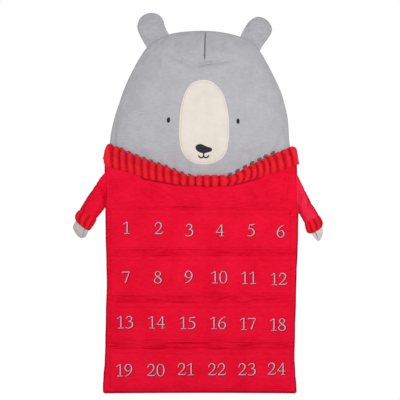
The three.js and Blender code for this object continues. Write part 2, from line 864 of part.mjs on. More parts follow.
const calendar = new THREE.Group();
calendar.add(...bodyLayers());
calendar.add(...steps(pocketRows).map(pocketStrip));
calendar.add(collar());
calendar.add(...headPieces());
calendar.add(muzzlePatch(), nose(), mouth(), eye("eye_left", -1), eye("eye_right", 1));
calendar.add(ear("ear_left", leftEarFromSide, -1));
calendar.add(ear("ear_right", rightEarFromSide, 1));
calendar.add(armPieces(leftArm), armPieces(rightArm));
calendar.add(hangingLoop());

export default calendar;
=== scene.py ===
from bisect import bisect_right
from math import atan2, cos, exp, hypot, pi, radians, sin, sqrt

import bmesh
import bpy
from mathutils import Matrix, Vector, noise
from mathutils.bvhtree import BVHTree
from mathutils.interpolate import poly_3d_calc


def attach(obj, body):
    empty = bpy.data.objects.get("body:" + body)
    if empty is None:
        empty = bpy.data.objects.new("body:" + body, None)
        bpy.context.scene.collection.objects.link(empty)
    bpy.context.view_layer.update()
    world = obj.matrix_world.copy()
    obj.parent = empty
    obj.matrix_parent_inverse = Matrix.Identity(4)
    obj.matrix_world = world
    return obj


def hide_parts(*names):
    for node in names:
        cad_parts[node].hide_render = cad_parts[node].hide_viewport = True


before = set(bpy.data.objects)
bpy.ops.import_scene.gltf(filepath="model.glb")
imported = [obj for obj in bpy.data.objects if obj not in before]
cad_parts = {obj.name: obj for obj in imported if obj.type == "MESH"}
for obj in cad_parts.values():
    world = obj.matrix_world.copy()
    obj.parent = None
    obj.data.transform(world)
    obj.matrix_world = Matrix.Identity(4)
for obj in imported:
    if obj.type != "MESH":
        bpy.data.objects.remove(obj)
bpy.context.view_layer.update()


# Camera, light and floor
# The calendar hangs by its loop, and is seen level and square on through a long lens.
# Big soft lamps stand in front of it, and a pale floor lies below.

metres_per_pixel = 0.0024
middle_column = 200.5
hook_row = 37
picture_size = 400
body_front_depth = 0.012
lens = 150
sensor = 36
camera_distance = picture_size * metres_per_pixel * lens / sensor
camera_middle = Vector((-0.0012, -0.3912))


def seen(column, row, depth=body_front_depth):
    """The x and z of a point that lies at this depth and shows at a column and row."""
    nearer = (depth - body_front_depth) / camera_distance
    level = Vector((column - middle_column, hook_row - row)) * metres_per_pixel
    return camera_middle + (level - camera_middle) * (1 - nearer)


def placed(name, data):
    """An object in the scene that shows this data."""
    thing = bpy.data.objects.new(name, data)
    bpy.context.collection.objects.link(thing)
    return thing


camera_data = bpy.data.cameras.new("camera")
camera_data.lens = lens
camera_data.sensor_width = sensor
camera_data.clip_end = 50
camera = placed("camera", camera_data)
camera.location = (camera_middle.x, -body_front_depth - camera_distance, camera_middle.y)
camera.rotation_euler = (pi / 2, 0, 0)
bpy.context.scene.camera = camera
bpy.context.scene.view_settings.view_transform = "Standard"


def add_node(tree, kind, inputs, **settings):
    """A shader node, with its settings, and its inputs given as values or as sockets."""
    node = tree.nodes.new("ShaderNode" + kind)
    for name, value in settings.items():
        setattr(node, name, value)
    for name, value in inputs.items():
        if isinstance(value, bpy.types.NodeSocket):
            tree.links.new(value, node.inputs[name])
        else:
            node.inputs[name].default_value = value
    return node


def calculated(tree, operation, *values):
    """The result of a calculation with values or sockets."""
    return add_node(tree, "Math", dict(enumerate(values)), operation=operation).outputs[0]


room_light = 0.50
world = bpy.data.worlds.new("studio")
bpy.context.scene.world = world
world.use_nodes = True
world_tree = world.node_tree
world_tree.nodes.clear()
white = (1, 1, 1, 1)
ray = add_node(world_tree, "LightPath", {}).outputs
seen_straight = calculated(world_tree, "MAXIMUM", ray["Is Camera Ray"], ray["Is Glossy Ray"])
seen_at_all = calculated(world_tree, "MAXIMUM", seen_straight, ray["Is Transmission Ray"])
soft = add_node(world_tree, "Background", {"Color": white, "Strength": room_light}).outputs[0]
backdrop = add_node(world_tree, "Background", {"Color": white, "Strength": 1}).outputs[0]
either = add_node(world_tree, "MixShader", {0: seen_at_all, 1: soft, 2: backdrop}).outputs[0]
add_node(world_tree, "OutputWorld", {"Surface": either})


def soft_lamp(name, place, width, watts):
    """A soft square lamp that faces the calendar's middle and doesn't show itself."""
    data = bpy.data.lights.new(name, "AREA")
    data.size = width
    data.energy = watts
    lamp = placed(name, data)
    lamp.location = place
    lamp.visible_camera = False
    aim = Vector((camera_middle.x, 0, camera_middle.y)) - lamp.location
    lamp.rotation_euler = aim.to_track_quat("-Z", "Y").to_euler()


soft_lamp("key_lamp", place=(0.56, -1.28, -0.13), width=0.5, watts=8.4)
soft_lamp("fill_lamp", place=(-0.9, -1.4, -0.25), width=0.9, watts=6.3)
soft_lamp("back_lamp", place=(0.4, 1.5, -0.2), width=0.9, watts=9)

floor_level = -1.5
floor_half = 0.6
floor_grey = (0.86, 0.86, 0.86, 1)
floor_roughness = 0.9
floor_mesh = bmesh.new()
bmesh.ops.create_grid(floor_mesh, x_segments=1, y_segments=1, size=floor_half)
bmesh.ops.translate(floor_mesh, verts=floor_mesh.verts, vec=(0, 0, floor_level))
floor_data = bpy.data.meshes.new("floor")
floor_mesh.to_mesh(floor_data)
floor_mesh.free()
floor_finish = bpy.data.materials.new("pale_floor")
floor_finish.use_nodes = True
floor_shader = floor_finish.node_tree.nodes["Principled BSDF"]
floor_shader.inputs["Base Color"].default_value = floor_grey
floor_shader.inputs["Roughness"].default_value = floor_roughness
floor_data.materials.append(floor_finish)
floor = placed("floor", floor_data)


# Head
# A flat stuffed cushion of heathered grey jersey, sewn all round its rim and into the neck seam.
# A dart, sewn down from the crown, rounds the forehead and gathers the jersey under its end.


def dyed(red, green, blue):
    """A cloth colour, from display values of 0 to 255."""
    shares = [channel / 255 for channel in (red, green, blue)]
    linear = []
    for share in shares:
        linear.append(share / 12.92 if share <= 0.04045 else ((share + 0.055) / 1.055) ** 2.4)
    return (*linear, 1)


def new_finish(name, roughness, sheen, sheen_colour, shine=0.08):
    """A cloth material without its patterns: its node tree is filled by its own section."""
    finish = bpy.data.materials.new(name)
    finish.use_nodes = True
    shader = finish.node_tree.nodes["Principled BSDF"]
    shader.inputs["Roughness"].default_value = roughness
    shader.inputs["Specular IOR Level"].default_value = shine
    shader.inputs["Sheen Weight"].default_value = sheen
    shader.inputs["Sheen Roughness"].default_value = 0.45
    shader.inputs["Sheen Tint"].default_value = sheen_colour
    return finish


def lie_of(tree, stretch=(1, 1, 1), turn=0):
    """The object's own coordinates, stretched along its axes and turned by degrees as seen."""
    place = add_node(tree, "TexCoord", {}).outputs["Object"]
    settings = {"Vector": place, "Scale": stretch, "Rotation": (0, radians(turn), 0)}
    return add_node(tree, "Mapping", settings).outputs[0]


def grain(tree, size, stretch=(1, 1, 1), detail=2.0):
    """Cloudy unevenness whose patches are about as wide as size."""
    lie = lie_of(tree, stretch)
    return add_node(tree, "TexNoise", {"Vector": lie, "Scale": 1 / size, "Detail": detail}).outputs[0]


def bands(tree, pitch, direction, waver=0.0, turn=0, detail=1.0):
    """Parallel wales or threads, one for each pitch."""
    lie = lie_of(tree, turn=turn)
    settings = {"Vector": lie, "Scale": 2 * pi / (20 * pitch), "Distortion": waver, "Detail": detail}
    return add_node(tree, "TexWave", settings, bands_direction=direction).outputs[1]


def blended(tree, first, second, share):
    """The second pattern mixed into the first by a share."""
    kept = calculated(tree, "MULTIPLY", first, 1 - share)
    return calculated(tree, "MULTIPLY_ADD", second, share, kept)


def tinted(tree, pattern, stops):
    """Colours along a pattern, each with the value at which it stands."""
    ramp = add_node(tree, "ValToRGB", {"Fac": pattern})
    elements = ramp.color_ramp.elements
    while len(elements) < len(stops):
        elements.new(0.5)
    for element, (position, colour) in zip(elements, stops):
        element.position = position
        element.color = colour
    return ramp.outputs[0]


def dress(finish, colour, height, rise, strength=1.0):
    """Gives a finish its colour pattern, and a relief that rises so many metres."""
    tree = finish.node_tree
    shader = tree.nodes["Principled BSDF"]
    bump = add_node(tree, "Bump", {"Height": height, "Distance": rise, "Strength": strength})
    tree.links.new(colour, shader.inputs["Base Color"])
    tree.links.new(bump.outputs[0], shader.inputs["Normal"])
    return finish


def jersey(name, pale, dark):
    """Heathered jersey: mottled yarn in fine upright wales."""
    finish = new_finish(name, roughness=0.95, sheen=0.2, sheen_colour=(0.9, 0.9, 0.95, 1))
    tree = finish.node_tree
    mottle = grain(tree, size=0.03, detail=4)
    heather = grain(tree, size=0.0011, stretch=(1, 1, 0.35), detail=3)
    fibres = grain(tree, size=0.004, stretch=(0.35, 1, 1.6), detail=2)
    tone = blended(tree, blended(tree, mottle, heather, share=0.5), fibres, share=0.42)
    upright = bands(tree, pitch=0.0013, direction="X", waver=1.5)
    wales = blended(tree, upright, heather, share=0.5)
    return dress(finish, tinted(tree, tone, [(0.3, dark), (0.7, pale)]), wales, rise=0.00035)


grey_jersey = jersey("grey_jersey", dyed(190, 190, 196), dyed(170, 169, 173))

neck_end_level = -0.286
neck_sag = 0.0585
body_half = 0.230
head_middle = Vector((0, -0.136))
head_crown_depth = 0.043
head_back_depth = 0.0015
head_sewn_band = (0.94, 0.98)
head_rim_depth = 0.012
neck_seam_depth = 0.00315
head_rim_rise = 0.08


def neck_level(x):
    """The neck seam: lowest in the middle, between a parabola and a cosine bell."""
    across = min(abs(x) / body_half, 1)
    return neck_end_level - neck_sag * (1 - across**2 + (1 + cos(pi * across)) / 2) / 2


def all_seen(pixels, depth=body_front_depth):
    """The places of a line of columns and rows."""
    return [seen(column, row, depth) for column, row in pixels]


def curve_through(points, closed=False, parts=8):
    """A smooth line through points, each stretch of it in so many parts."""
    count = len(points)
    line = []
    for start in range(count if closed else count - 1):
        near = [start + shift for shift in (-1, 0, 1, 2)]
        if closed:
            near = [index % count for index in near]
        else:
            near = [min(max(index, 0), count - 1) for index in near]
        a, b, c, d = (points[index] for index in near)
        for part in range(parts):
            t = part / parts
            even = 2 * b + (c - a) * t
            bent = (2 * a - 5 * b + 4 * c - d) * t**2 + (3 * b - a - 3 * c + d) * t**3
            line.append((even + bent) / 2)
    if not closed:
        line.append(points[-1].copy())
    return line


def stretch_at(places, value):
    """Which stretch of a line holds a value, from the rising places of its points."""
    return min(max(bisect_right(places, value), 1), len(places) - 1)


def reach_round(points, middle):
    """A function that gives how far a smooth outline lies from its middle, by direction."""
    outline = curve_through(points, closed=True)
    spokes = sorted((atan2(*(spot - middle).yx), (spot - middle).length) for spot in outline)
    before = (spokes[-1][0] - 2 * pi, spokes[-1][1])
    after = (spokes[0][0] + 2 * pi, spokes[0][1])
    spokes = [before, *spokes, after]
    turns = [turn for turn, _ in spokes]

    def reach(turn):
        index = stretch_at(turns, turn)
        low, high = spokes[index - 1], spokes[index]
        share = (turn - low[0]) / max(high[0] - low[0], 1e-9)
        return low[1] + (high[1] - low[1]) * share

    return reach


head_rim = [
    (109.5, 152), (110, 140), (112, 128), (115, 116), (119, 104), (123, 92), (128, 80),
    (134, 68), (137.3, 62), (141, 56), (146.5, 48), (154.9, 41.2), (164, 36.4), (172, 33.6),
    (182, 32), (193, 31.1), (204, 30.8), (215, 31.4), (226, 33), (238, 36), (246, 38.9),
    (254, 44), (261.7, 54), (269, 67), (275.5, 80), (281, 92), (284.5, 104), (287.3, 116),
    (288.6, 128), (289.3, 140), (290, 152),
]
neck_stops = [0.2, 0.17, 0.13, 0.09, 0.045, 0, -0.045, -0.09, -0.13, -0.17, -0.2]
neck_seam = [Vector((x, neck_level(x))) for x in neck_stops]
head_reach = reach_round(all_seen(head_rim) + neck_seam, head_middle)


def dome(share):
    """The height of a cushion: 1 in its middle and 0 at its seam."""
    return sqrt(max(0, 1 - share**2.4))


def clamped(value):
    """A value kept between 0 and 1."""
    return min(max(value, 0), 1)


def eased(low, high, value):
    """A soft step, from 0 at the low value to 1 at the high one."""
    share = clamped((value - low) / (high - low))
    return share * share * (3 - 2 * share)


def bell(distance, width):
    """A smooth hump: 1 in its middle, and nearly nothing at two widths from it."""
    return exp(-((distance / width) ** 2))


def folds(x, z, lines):
    """How far folds lift the cloth: each has two ends, a half width and a height."""
    lift = 0
    for start, end, width, height in lines:
        run = end - start
        place = Vector((x, z)) - start
        share = clamped(place.dot(run) / run.dot(run))
        aside = (place - run * share).length
        if aside < 3 * width:
            lift += height * bell(aside, width) * (1 - (2 * share - 1) ** 4)
    return lift


def folds_from(rows):
    """Folds written as two ends in columns and rows, a half width and a height."""
    lines = []
    for column, row, end_column, end_row, width, height in rows:
        lines.append((seen(column, row), seen(end_column, end_row), width, height))
    return lines


head_folds = folds_from([
    (163, 52, 183, 62.5, 0.0065, -0.0042),
    (178, 60, 196, 68, 0.0055, -0.0036),
    (196, 67.6, 213, 62.8, 0.0038, -0.0052),
    (206, 65.6, 237, 60.2, 0.0042, -0.0042),
    (184, 56, 202, 61, 0.009, 0.0022),
    (206, 57, 230, 53, 0.009, 0.0020),
    (170, 63, 192, 74, 0.010, 0.0026),
    (192, 74, 232, 67, 0.011, 0.0030),
    (236, 50, 240, 92, 0.008, 0.0012),
    (150, 62, 156, 96, 0.012, 0.0010),
    (262, 112, 276, 142, 0.008, 0.0012),
    (132, 118, 126, 144, 0.010, 0.0010),
    (150, 140, 172, 158, 0.008, -0.0010),
    (232, 150, 252, 158, 0.008, -0.0010),
])
dart_top = seen(205.4, 28)
dart_end = seen(204.3, 63.4)
dart_half_width = 0.0012
dart_depth = 0.0065
dart_swell = 0.0020
dart_swell_aside = 0.007
dart_swell_half_width = 0.006
dart_fade_start = 0.82
dart_reach = 0.010
crease_low = seen(156, 74)
crease_high = seen(243, 26)


def dart(x, z):
    """The sewn dart: a narrow groove between two soft swells, fading at its lower end."""
    share = clamped((dart_top.y - z) / (dart_top.y - dart_end.y))
    aside = abs(x - (dart_top.x + (dart_end.x - dart_top.x) * share))
    groove = -dart_depth * bell(aside, dart_half_width)
    swollen = dart_swell * bell(aside - dart_swell_aside, dart_swell_half_width)
    return (groove + swollen) * (1 - eased(dart_fade_start, 1, share))


def head_rim_at(z):
    """The depth of the head's seam, which falls back towards the neck."""
    lift = eased(0, head_rim_rise, z - neck_end_level)
    return neck_seam_depth + (head_rim_depth - neck_seam_depth) * lift


def at_depth(spot, depth):
    """The point over an x and z place that stands out so far from the wall."""
    return Vector((spot.x, -depth, spot.y))


def on_spoke(middle, turn, share, reach):
    """The place at a share of the reach from a middle, in the direction of a turn."""
    return middle + Vector((cos(turn), sin(turn))) * share * reach


crown_crowding = 0.38


def head_place(turn, share, front):
    """A point of the head. Its points crowd together towards the crown and the neck."""
    turn += crown_crowding * sin(2 * turn)
    reach = head_reach(turn)
    rim = head_rim_at(head_middle.y + reach * sin(turn))
    crown = head_crown_depth if front else head_back_depth
    return at_depth(on_spoke(head_middle, turn, share, reach), rim + (crown - rim) * dome(share))


def head_share(point):
    """How far out a point of the head lies: 0 in its middle and 1 at its rim."""
    place = Vector((point.x, point.z)) - head_middle
    return place.length / head_reach(atan2(place.y, place.x))


def stuffed_round(around, rings, place):
    """A closed cushion: a sphere, each point of which is laid by its turn, share and face."""
    mesh = bmesh.new()
    mesh.loops.layers.uv.new("cloth")
    bmesh.ops.create_uvsphere(mesh, u_segments=around, v_segments=rings, radius=1, calc_uvs=True)
    for point in mesh.verts:
        turn = atan2(point.co.y, point.co.x)
        share = min(hypot(point.co.x, point.co.y), 1)
        point.co = place(turn, share, point.co.z > 1e-5)
    return mesh


def piece_of(name, mesh, finish, replaced=(), body="calendar"):
    """A finished piece: smooth, in its finish, riding on a body and standing for CAD nodes."""
    data = bpy.data.meshes.new(name)
    mesh.to_mesh(data)
    mesh.free()
    data.materials.append(finish)
    data.shade_smooth()
    made = placed(name, data)
    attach(made, body)
    if replaced:
        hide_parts(*replaced)
    return made


def as_shown(thing):
    """An object's mesh, as its modifiers leave it."""
    graph = bpy.context.evaluated_depsgraph_get()
    return bpy.data.meshes.new_from_object(thing.evaluated_get(graph))


wall_gap = 0.0004


def swell(mesh, sewn, square, slack, limit, pressure=4, moments=20):
    """Stuffs a cushion: a cloth of even squares is blown up between its seams, with a little
    slack, and each point of the cushion moves as far as that cloth does beside it."""
    net = placed("net", bpy.data.meshes.new("net"))
    mesh.to_mesh(net.data)
    net.modifiers.new("squares", "REMESH").voxel_size = square
    empty = as_shown(net)
    net.modifiers.clear()
    net.data = empty
    seam = net.vertex_groups.new(name="seam")
    for point in empty.vertices:
        seam.add([point.index], sewn(point.co), "REPLACE")
    cloth = net.modifiers.new("cloth", "CLOTH").settings
    cloth.vertex_group_mass = "seam"
    cloth.use_pressure = True
    cloth.uniform_pressure_force = pressure
    cloth.shrink_min = -slack
    cloth.effector_weights.gravity = 0
    for moment in range(1, moments + 1):
        bpy.context.scene.frame_set(moment)
    full = as_shown(net)
    smooth = []
    for shape in (empty, full):
        net.modifiers.clear()
        net.data = shape
        net.modifiers.new("rounding", "SUBSURF").levels = 1
        smooth.append(as_shown(net))
    before, after = smooth
    places = [point.co.copy() for point in before.vertices]
    moves = [end.co - start for start, end in zip(places, after.vertices)]
    skin = BVHTree.FromPolygons(places, [face.vertices for face in before.polygons])
    for point in mesh.verts:
        spot, _, index, _ = skin.find_nearest(point.co)
        corners = before.polygons[index].vertices
        weights = poly_3d_calc([places[corner] for corner in corners], spot)
        move = sum((moves[corner] * weight for corner, weight in zip(corners, weights)), Vector())
        move.length = min(move.length, limit)
        point.co += move
        point.co.y = min(point.co.y, -wall_gap)
    bpy.data.objects.remove(net)
    bpy.context.scene.frame_set(1)


def sewn_head(point):
    """1 in the head's seam, and 0 where its cloth is free."""
    return eased(*head_sewn_band, head_share(point))


def on_head_front(point):
    return -point.y > head_rim_at(point.z)


def among_creases(point):
    inside = crease_low.x < point.x < crease_high.x and crease_low.y < point.z < crease_high.y
    return inside and on_head_front(point)


def by_dart(point):
    return abs(point.x - dart_top.x) < dart_reach and point.z > dart_end.y and on_head_front(point)


def divide(mesh, near, cuts):
    """Makes the squares smaller wherever all of their corners are near a crease."""
    edges = [edge for edge in mesh.edges if all(near(point.co) for point in edge.verts)]
    bmesh.ops.subdivide_edges(mesh, edges=edges, cuts=cuts, use_grid_fill=True)


head_ripple = 0.0012
head_ripples_per_metre = 16
fold_fade_power = 6
dart_fade_power = 30
head_mesh = stuffed_round(around=320, rings=120, place=head_place)
swell(head_mesh, sewn_head, square=0.005, slack=0.03, limit=0.008)
divide(head_mesh, among_creases, cuts=1)
divide(head_mesh, by_dart, cuts=2)
for point in head_mesh.verts:
    share = head_share(point.co)
    if on_head_front(point.co) and share < 1:
        x, z = point.co.x, point.co.z
        ripple = noise.noise(Vector((x, 0, z)) * head_ripples_per_metre) * head_ripple
        point.co.y -= (folds(x, z, head_folds) + ripple) * (1 - share**fold_fade_power)
        point.co.y -= dart(x, z) * (1 - share**dart_fade_power)
head_skin = BVHTree.FromBMesh(head_mesh)


def head_depth(x, z):
    """How far the head's front stands out from the wall over a point."""
    spot = head_skin.ray_cast(Vector((x, -1, z)), Vector((0, 1, 0)))[0]
    return -spot.y if spot else neck_seam_depth


head = piece_of(
    "head", head_mesh, grey_jersey, ["head_front", "head_back", "head_filling"]
)


# Ears
# Two flat stuffed rounds of the same jersey, gathered a little and caught into the head's rim seam.
# Each flops on that seam.

ear_half_thickness = 0.0085
ear_sewn_band = (0.86, 0.96)
ear_root_share = 0.15
ear_root_height = 0.034
gather_height = 0.0007
gather_pitch = 0.011
gather_reach = 0.009
ear_ripple = 0.0009
ear_ripples_per_metre = 45


def ear_piece(name, rim_pixels, middle_pixel):
    """An ear, blown up between its seams, whose rim starts and ends on the seam it flops on."""
    outline = all_seen(rim_pixels)
    middle = seen(*middle_pixel)
    reach_at = reach_round(outline, middle)
    seam_start, seam_end = outline[0], outline[-1]
    seam = (seam_end - seam_start).normalized()

    def place(turn, share, front):
        spot = on_spoke(middle, turn, share, reach_at(turn))
        above_seam = abs((spot - seam_start).cross(seam))
        flattened = ear_root_share + (1 - ear_root_share) * eased(0, ear_root_height, above_seam)
        along = (spot - seam_start).dot(seam)
        gathers = gather_height * sin(along * 2 * pi / gather_pitch) * exp(-above_seam / gather_reach)
        plump = ear_half_thickness * dome(share) * flattened + gathers * dome(share)
        ripples = noise.noise(Vector((spot.x, 0, spot.y)) * ear_ripples_per_metre)
        plump += ripples * ear_ripple * dome(share)
        return at_depth(spot, head_rim_depth + (plump if front else -plump))

    def sewn(point):
        spot = Vector((point.x, point.z)) - middle
        return eased(*ear_sewn_band, spot.length / reach_at(atan2(spot.y, spot.x)))

    mesh = stuffed_round(around=112, rings=48, place=place)
    swell(mesh, sewn, square=0.0028, slack=0.04, limit=0.004)
    nodes = [f"{name}_front", f"{name}_back", f"{name}_filling"]
    made = piece_of(name, mesh, grey_jersey_ears, nodes, body=name)


grey_jersey_ears = jersey("grey_jersey_ears", dyed(192, 191, 197), dyed(157, 156, 161))
ear_piece(
    "ear_left",
    [
        (169.6, 37.2), (166.7, 30.5), (164.7, 25.5), (163.2, 20.3), (160.6, 16.4), (156.6, 13.8),
        (151.9, 12.9), (147, 13.6), (142.4, 16), (139, 20), (137.4, 25.7), (138.2, 31),
        (141.3, 38), (147.4, 48), (152.3, 47.4), (157.4, 44.2), (163, 40.4),
    ],
    (152.5, 28),
)
ear_piece(
    "ear_right",
    [
        (258.4, 52.4), (263.2, 44.9), (267.4, 39.3), (270.9, 33.7), (271.9, 28.2), (268.9, 22.2),
        (264, 18.2), (258.4, 16.7), (254, 18), (249.8, 20.9), (245, 27.3), (240.2, 37),
        (242.6, 40.4), (247.8, 43.9), (253.4, 48.4),
    ],
    (257.5, 32),
)


# Face
# A cream cloth muzzle, appliquéd on the head with a row of topstitch just inside its edge, and a
# nose, mouth and two eyes worked in charcoal satin stitch.

patch_lift = 0.0003
patch_thickness = 0.0015
thread_thickness = 0.0012
face_depth = 0.044
mouth_depth = 0.045
nose_depth = 0.046


def draped_patch(outline_pixels, depth, lift, thickness, around, rings, edge_power=9):
    """A thin closed patch that lies on the head's front."""
    outline = all_seen(outline_pixels, depth)
    middle = sum(outline, Vector((0, 0))) / len(outline)
    reach_at = reach_round(outline, middle)

    def place(turn, share, front):
        spot = on_spoke(middle, turn, share, reach_at(turn))
        rise = thickness * sqrt(max(0, 1 - share**edge_power)) if front else 0
        return at_depth(spot, head_depth(spot.x, spot.y) + lift + rise)

    return stuffed_round(around, rings, place)


def cloth_weave(name, pale, dark, pitch):
    """Plain woven cloth: fine crossing threads under a faint mottle."""
    finish = new_finish(name, roughness=0.9, sheen=0.08, sheen_colour=(1, 0.98, 0.94, 1))
    tree = finish.node_tree
    crossing = blended(tree, bands(tree, pitch, "X"), bands(tree, pitch, "Z"), share=0.5)
    tone = blended(tree, grain(tree, size=0.02, detail=4), crossing, share=0.25)
    return dress(finish, tinted(tree, tone, [(0.25, dark), (0.75, pale)]), crossing, rise=0.00025)


def satin_thread(name, pale, dark, pitch, turn, shine):
    """Satin stitch: close parallel threads at a slant."""
    finish = new_finish(name, roughness=0.5, sheen=0.1, sheen_colour=pale, shine=shine)
    tree = finish.node_tree
    threads = bands(tree, pitch, "X", waver=0.6, turn=turn, detail=2.0)
    tone = blended(tree, threads, grain(tree, size=0.002, detail=3), share=0.4)
    return dress(finish, tinted(tree, tone, [(0.2, dark), (0.75, pale)]), threads, rise=0.0003)


cream_cloth = cloth_weave("cream_cloth", dyed(238, 229, 219), dyed(226, 217, 206), 0.0009)
charcoal_thread = satin_thread("charcoal_thread", dyed(50, 49, 54), dyed(27, 27, 31), 0.0007, 20, 0.2)
fine_thread = satin_thread("fine_thread", dyed(34, 34, 39), dyed(16, 16, 20), 0.0006, 65, 0.25)

muzzle_rim = [
    (204, 79.9), (197.5, 80.8), (192, 83), (188.4, 86.8), (185.4, 91.7), (183, 98), (181.3, 104.6),
    (180.2, 111), (179.5, 118), (179, 130.6), (179.2, 139), (180.1, 145.6), (181.4, 150.6),
    (183.8, 155), (187, 158.7), (190.7, 161.4), (194.6, 163.2), (198.6, 164.2), (204, 164.5),
    (209.3, 164.1), (214.4, 162.8), (218.8, 160.7), (222.4, 158), (225.2, 154.3), (227, 149.8),
    (228.2, 144.6), (229, 138), (229.2, 130.6), (229.1, 122), (228.5, 115.2), (227.3, 108),
    (225.8, 101.4), (223.6, 95), (220.4, 89.6), (216, 84.8), (210.3, 81.2),
]
muzzle_mesh = draped_patch(muzzle_rim, face_depth, patch_lift, patch_thickness, around=144, rings=48)
piece_of("muzzle", muzzle_mesh, cream_cloth, ["muzzle_patch"])
on_muzzle = patch_lift + patch_thickness
stitch_share = 0.72
stitch_lead = 0.3


def add_stitch(mesh, centre, along, length, thickness, height=None):
    """One stitch: a small round grain of thread, drawn out along the seam."""
    turn = along.to_track_quat("X", "Z").to_matrix().to_4x4()
    size = Matrix.Diagonal((length / 2, thickness / 2, (height or thickness) / 2, 1))
    matrix = Matrix.Translation(centre) @ turn @ size
    bmesh.ops.create_icosphere(mesh, subdivisions=1, radius=1, matrix=matrix)


def stitch_row(mesh, line, pitch, thickness, depth_at):
    """A row of topstitch along a line of x and z places, laid at the depth of the cloth."""
    walked = 0
    for start, end in zip(line, line[1:]):
        run = end - start
        while walked < run.length:
            spot = start + run * (walked / run.length)
            ahead = spot + run.normalized() * pitch * stitch_lead
            centre = at_depth(spot, depth_at(spot.x, spot.y))
            along = at_depth(ahead, depth_at(ahead.x, ahead.y)) - centre
            add_stitch(mesh, centre, along, pitch * stitch_share, thickness)
            walked += pitch
        walked -= run.length


def on_patch(x, z):
    """The depth of the muzzle's face over a point."""
    return head_depth(x, z) + on_muzzle


muzzle_outline = curve_through(all_seen(muzzle_rim, face_depth), closed=True, parts=4)
muzzle_centre = sum(muzzle_outline, Vector((0, 0))) / len(muzzle_outline)
topstitch_inset = 0.0048
topstitch_pitch = 0.0028
topstitch_width = 0.0007
topstitch_line = []
for spot in muzzle_outline + muzzle_outline[:1]:
    topstitch_line.append(spot + (muzzle_centre - spot).normalized() * topstitch_inset)
topstitch = bmesh.new()
stitch_row(topstitch, topstitch_line, topstitch_pitch, topstitch_width, on_patch)
beige_thread = satin_thread("beige_thread", dyed(214, 196, 182), dyed(196, 176, 162), 0.0005, 0, 0.2)
piece_of("muzzle_topstitch", topstitch, beige_thread)

nose_rim = [
    (195.4, 147.7), (195.9, 145.8), (197.6, 144.5), (200.2, 144), (202.7, 144.6), (205.3, 145.8),
    (208, 146.9), (210.6, 147.6), (212.1, 148.7), (212.2, 150), (211, 151.3), (208.8, 152.1),
    (206.2, 152.8), (203.2, 153.1), (200.5, 152.6), (197.9, 151.3), (196.1, 149.6),
]
nose_mesh = draped_patch(nose_rim, nose_depth, on_muzzle, thread_thickness, 64, 16, edge_power=4)
piece_of("nose_stitching", nose_mesh, charcoal_thread, ["nose"])


def seal(mesh):
    """Joins the edges that meet, fills what is left open and turns every face outwards."""
    bmesh.ops.remove_doubles(mesh, verts=mesh.verts, dist=1e-6)
    bmesh.ops.holes_fill(mesh, edges=mesh.edges, sides=0)
    bmesh.ops.recalc_face_normals(mesh, faces=mesh.faces)


flat_underside = 0.2


def rounded_edge(distance, radius):
    """The height of a rounded edge: 0 at the edge itself, and 1 from its radius inwards."""
    return sqrt(max(0, 1 - (1 - min(distance / radius, 1)) ** 2))


def thread_line(mesh, line, widths, depth_at, thickness, around=8):
    """A raised line of stitching along places: a flattened tube that narrows to its ends."""
    lengths = [0]
    for start, end in zip(line, line[1:]):
        lengths.append(lengths[-1] + (end - start).length)
    whole = lengths[-1]
    made = bmesh.new()
    made.loops.layers.uv.new("cloth")
    count = len(line) - 1
    bmesh.ops.create_grid(made, x_segments=count, y_segments=around, size=0.5, calc_uvs=True)
    for point in made.verts:
        index = min(round((point.co.x + 0.5) * count), count)
        angle = 2 * pi * (point.co.y + 0.5)
        before, after = line[max(index - 1, 0)], line[min(index + 1, count)]
        along = (after - before).normalized()
        across = Vector((-along.y, along.x))
        half = widths[index] / 2
        from_end = min(lengths[index], whole - lengths[index])
        rounded = rounded_edge(from_end, max(half, 1e-6))
        spot = line[index] + across * cos(angle) * half * rounded
        lift = thickness * max(sin(angle), -flat_underside) * rounded
        point.co = at_depth(spot, depth_at(spot.x, spot.y) + lift)
    seal(made)
    part = bpy.data.meshes.new("part")
    made.to_mesh(part)
    made.free()
    mesh.from_mesh(part)
    bpy.data.meshes.remove(part)


mouth_lines = [
    [(203.8, 151.8), (203.7, 154), (203.6, 156.4)],
    [(198.4, 155.2), (199.4, 156.8), (201.2, 157.7), (202.9, 157.1), (203.7, 155.6)],
    [(203.5, 155.6), (204.3, 157), (205.9, 157.7), (207.8, 156.8), (208.9, 155)],
]
mouth_stroke = 0.0033
mouth_mesh = bmesh.new()
for pixels in mouth_lines:
    path = curve_through(all_seen(pixels, mouth_depth), parts=6)
    thread_line(mouth_mesh, path, [mouth_stroke] * len(path), on_patch, thread_thickness)
piece_of("mouth_stitching", mouth_mesh, fine_thread, ["mouth"])

eye_middles = {"left": (168.5, 120.1), "right": (238, 121.3)}
eye_half_widths = {"left": 1.65, "right": 1.5}
eye_leans = {"left": -0.12, "right": 0.02}
eye_half_height = 2.75
eye_points = 16
for side, (column, row) in eye_middles.items():
    lean = eye_leans[side]
    eye_rim = []
    for step in range(eye_points):
        turn = 2 * pi * step / eye_points
        across, up = eye_half_widths[side] * cos(turn), eye_half_height * sin(turn)
        tilted = across * cos(lean) - up * sin(lean), across * sin(lean) + up * cos(lean)
        eye_rim.append((column + tilted[0], row - tilted[1]))
    eye_mesh = draped_patch(eye_rim, face_depth, patch_lift, thread_thickness, 40, 14, edge_power=3)
    piece_of(f"eye_{side}_stitching", eye_mesh, fine_thread, [f"eye_{side}"])


# Body
# A red velour front, a soft interlining and a red felt back, laid together. The front's edges are
# turned round the interlining and sewn to the felt.

hem_level = -0.8556
hem_droop = 0.0012
felt_thickness = 0.0012
sewn_gap = 0.0003
interlining_thickness = 0.0015
velour_thickness = 0.0015
panel_depth = 0.0063
panel_turn = 0.005
hem_turn = 0.011
hem_corner = 0.006


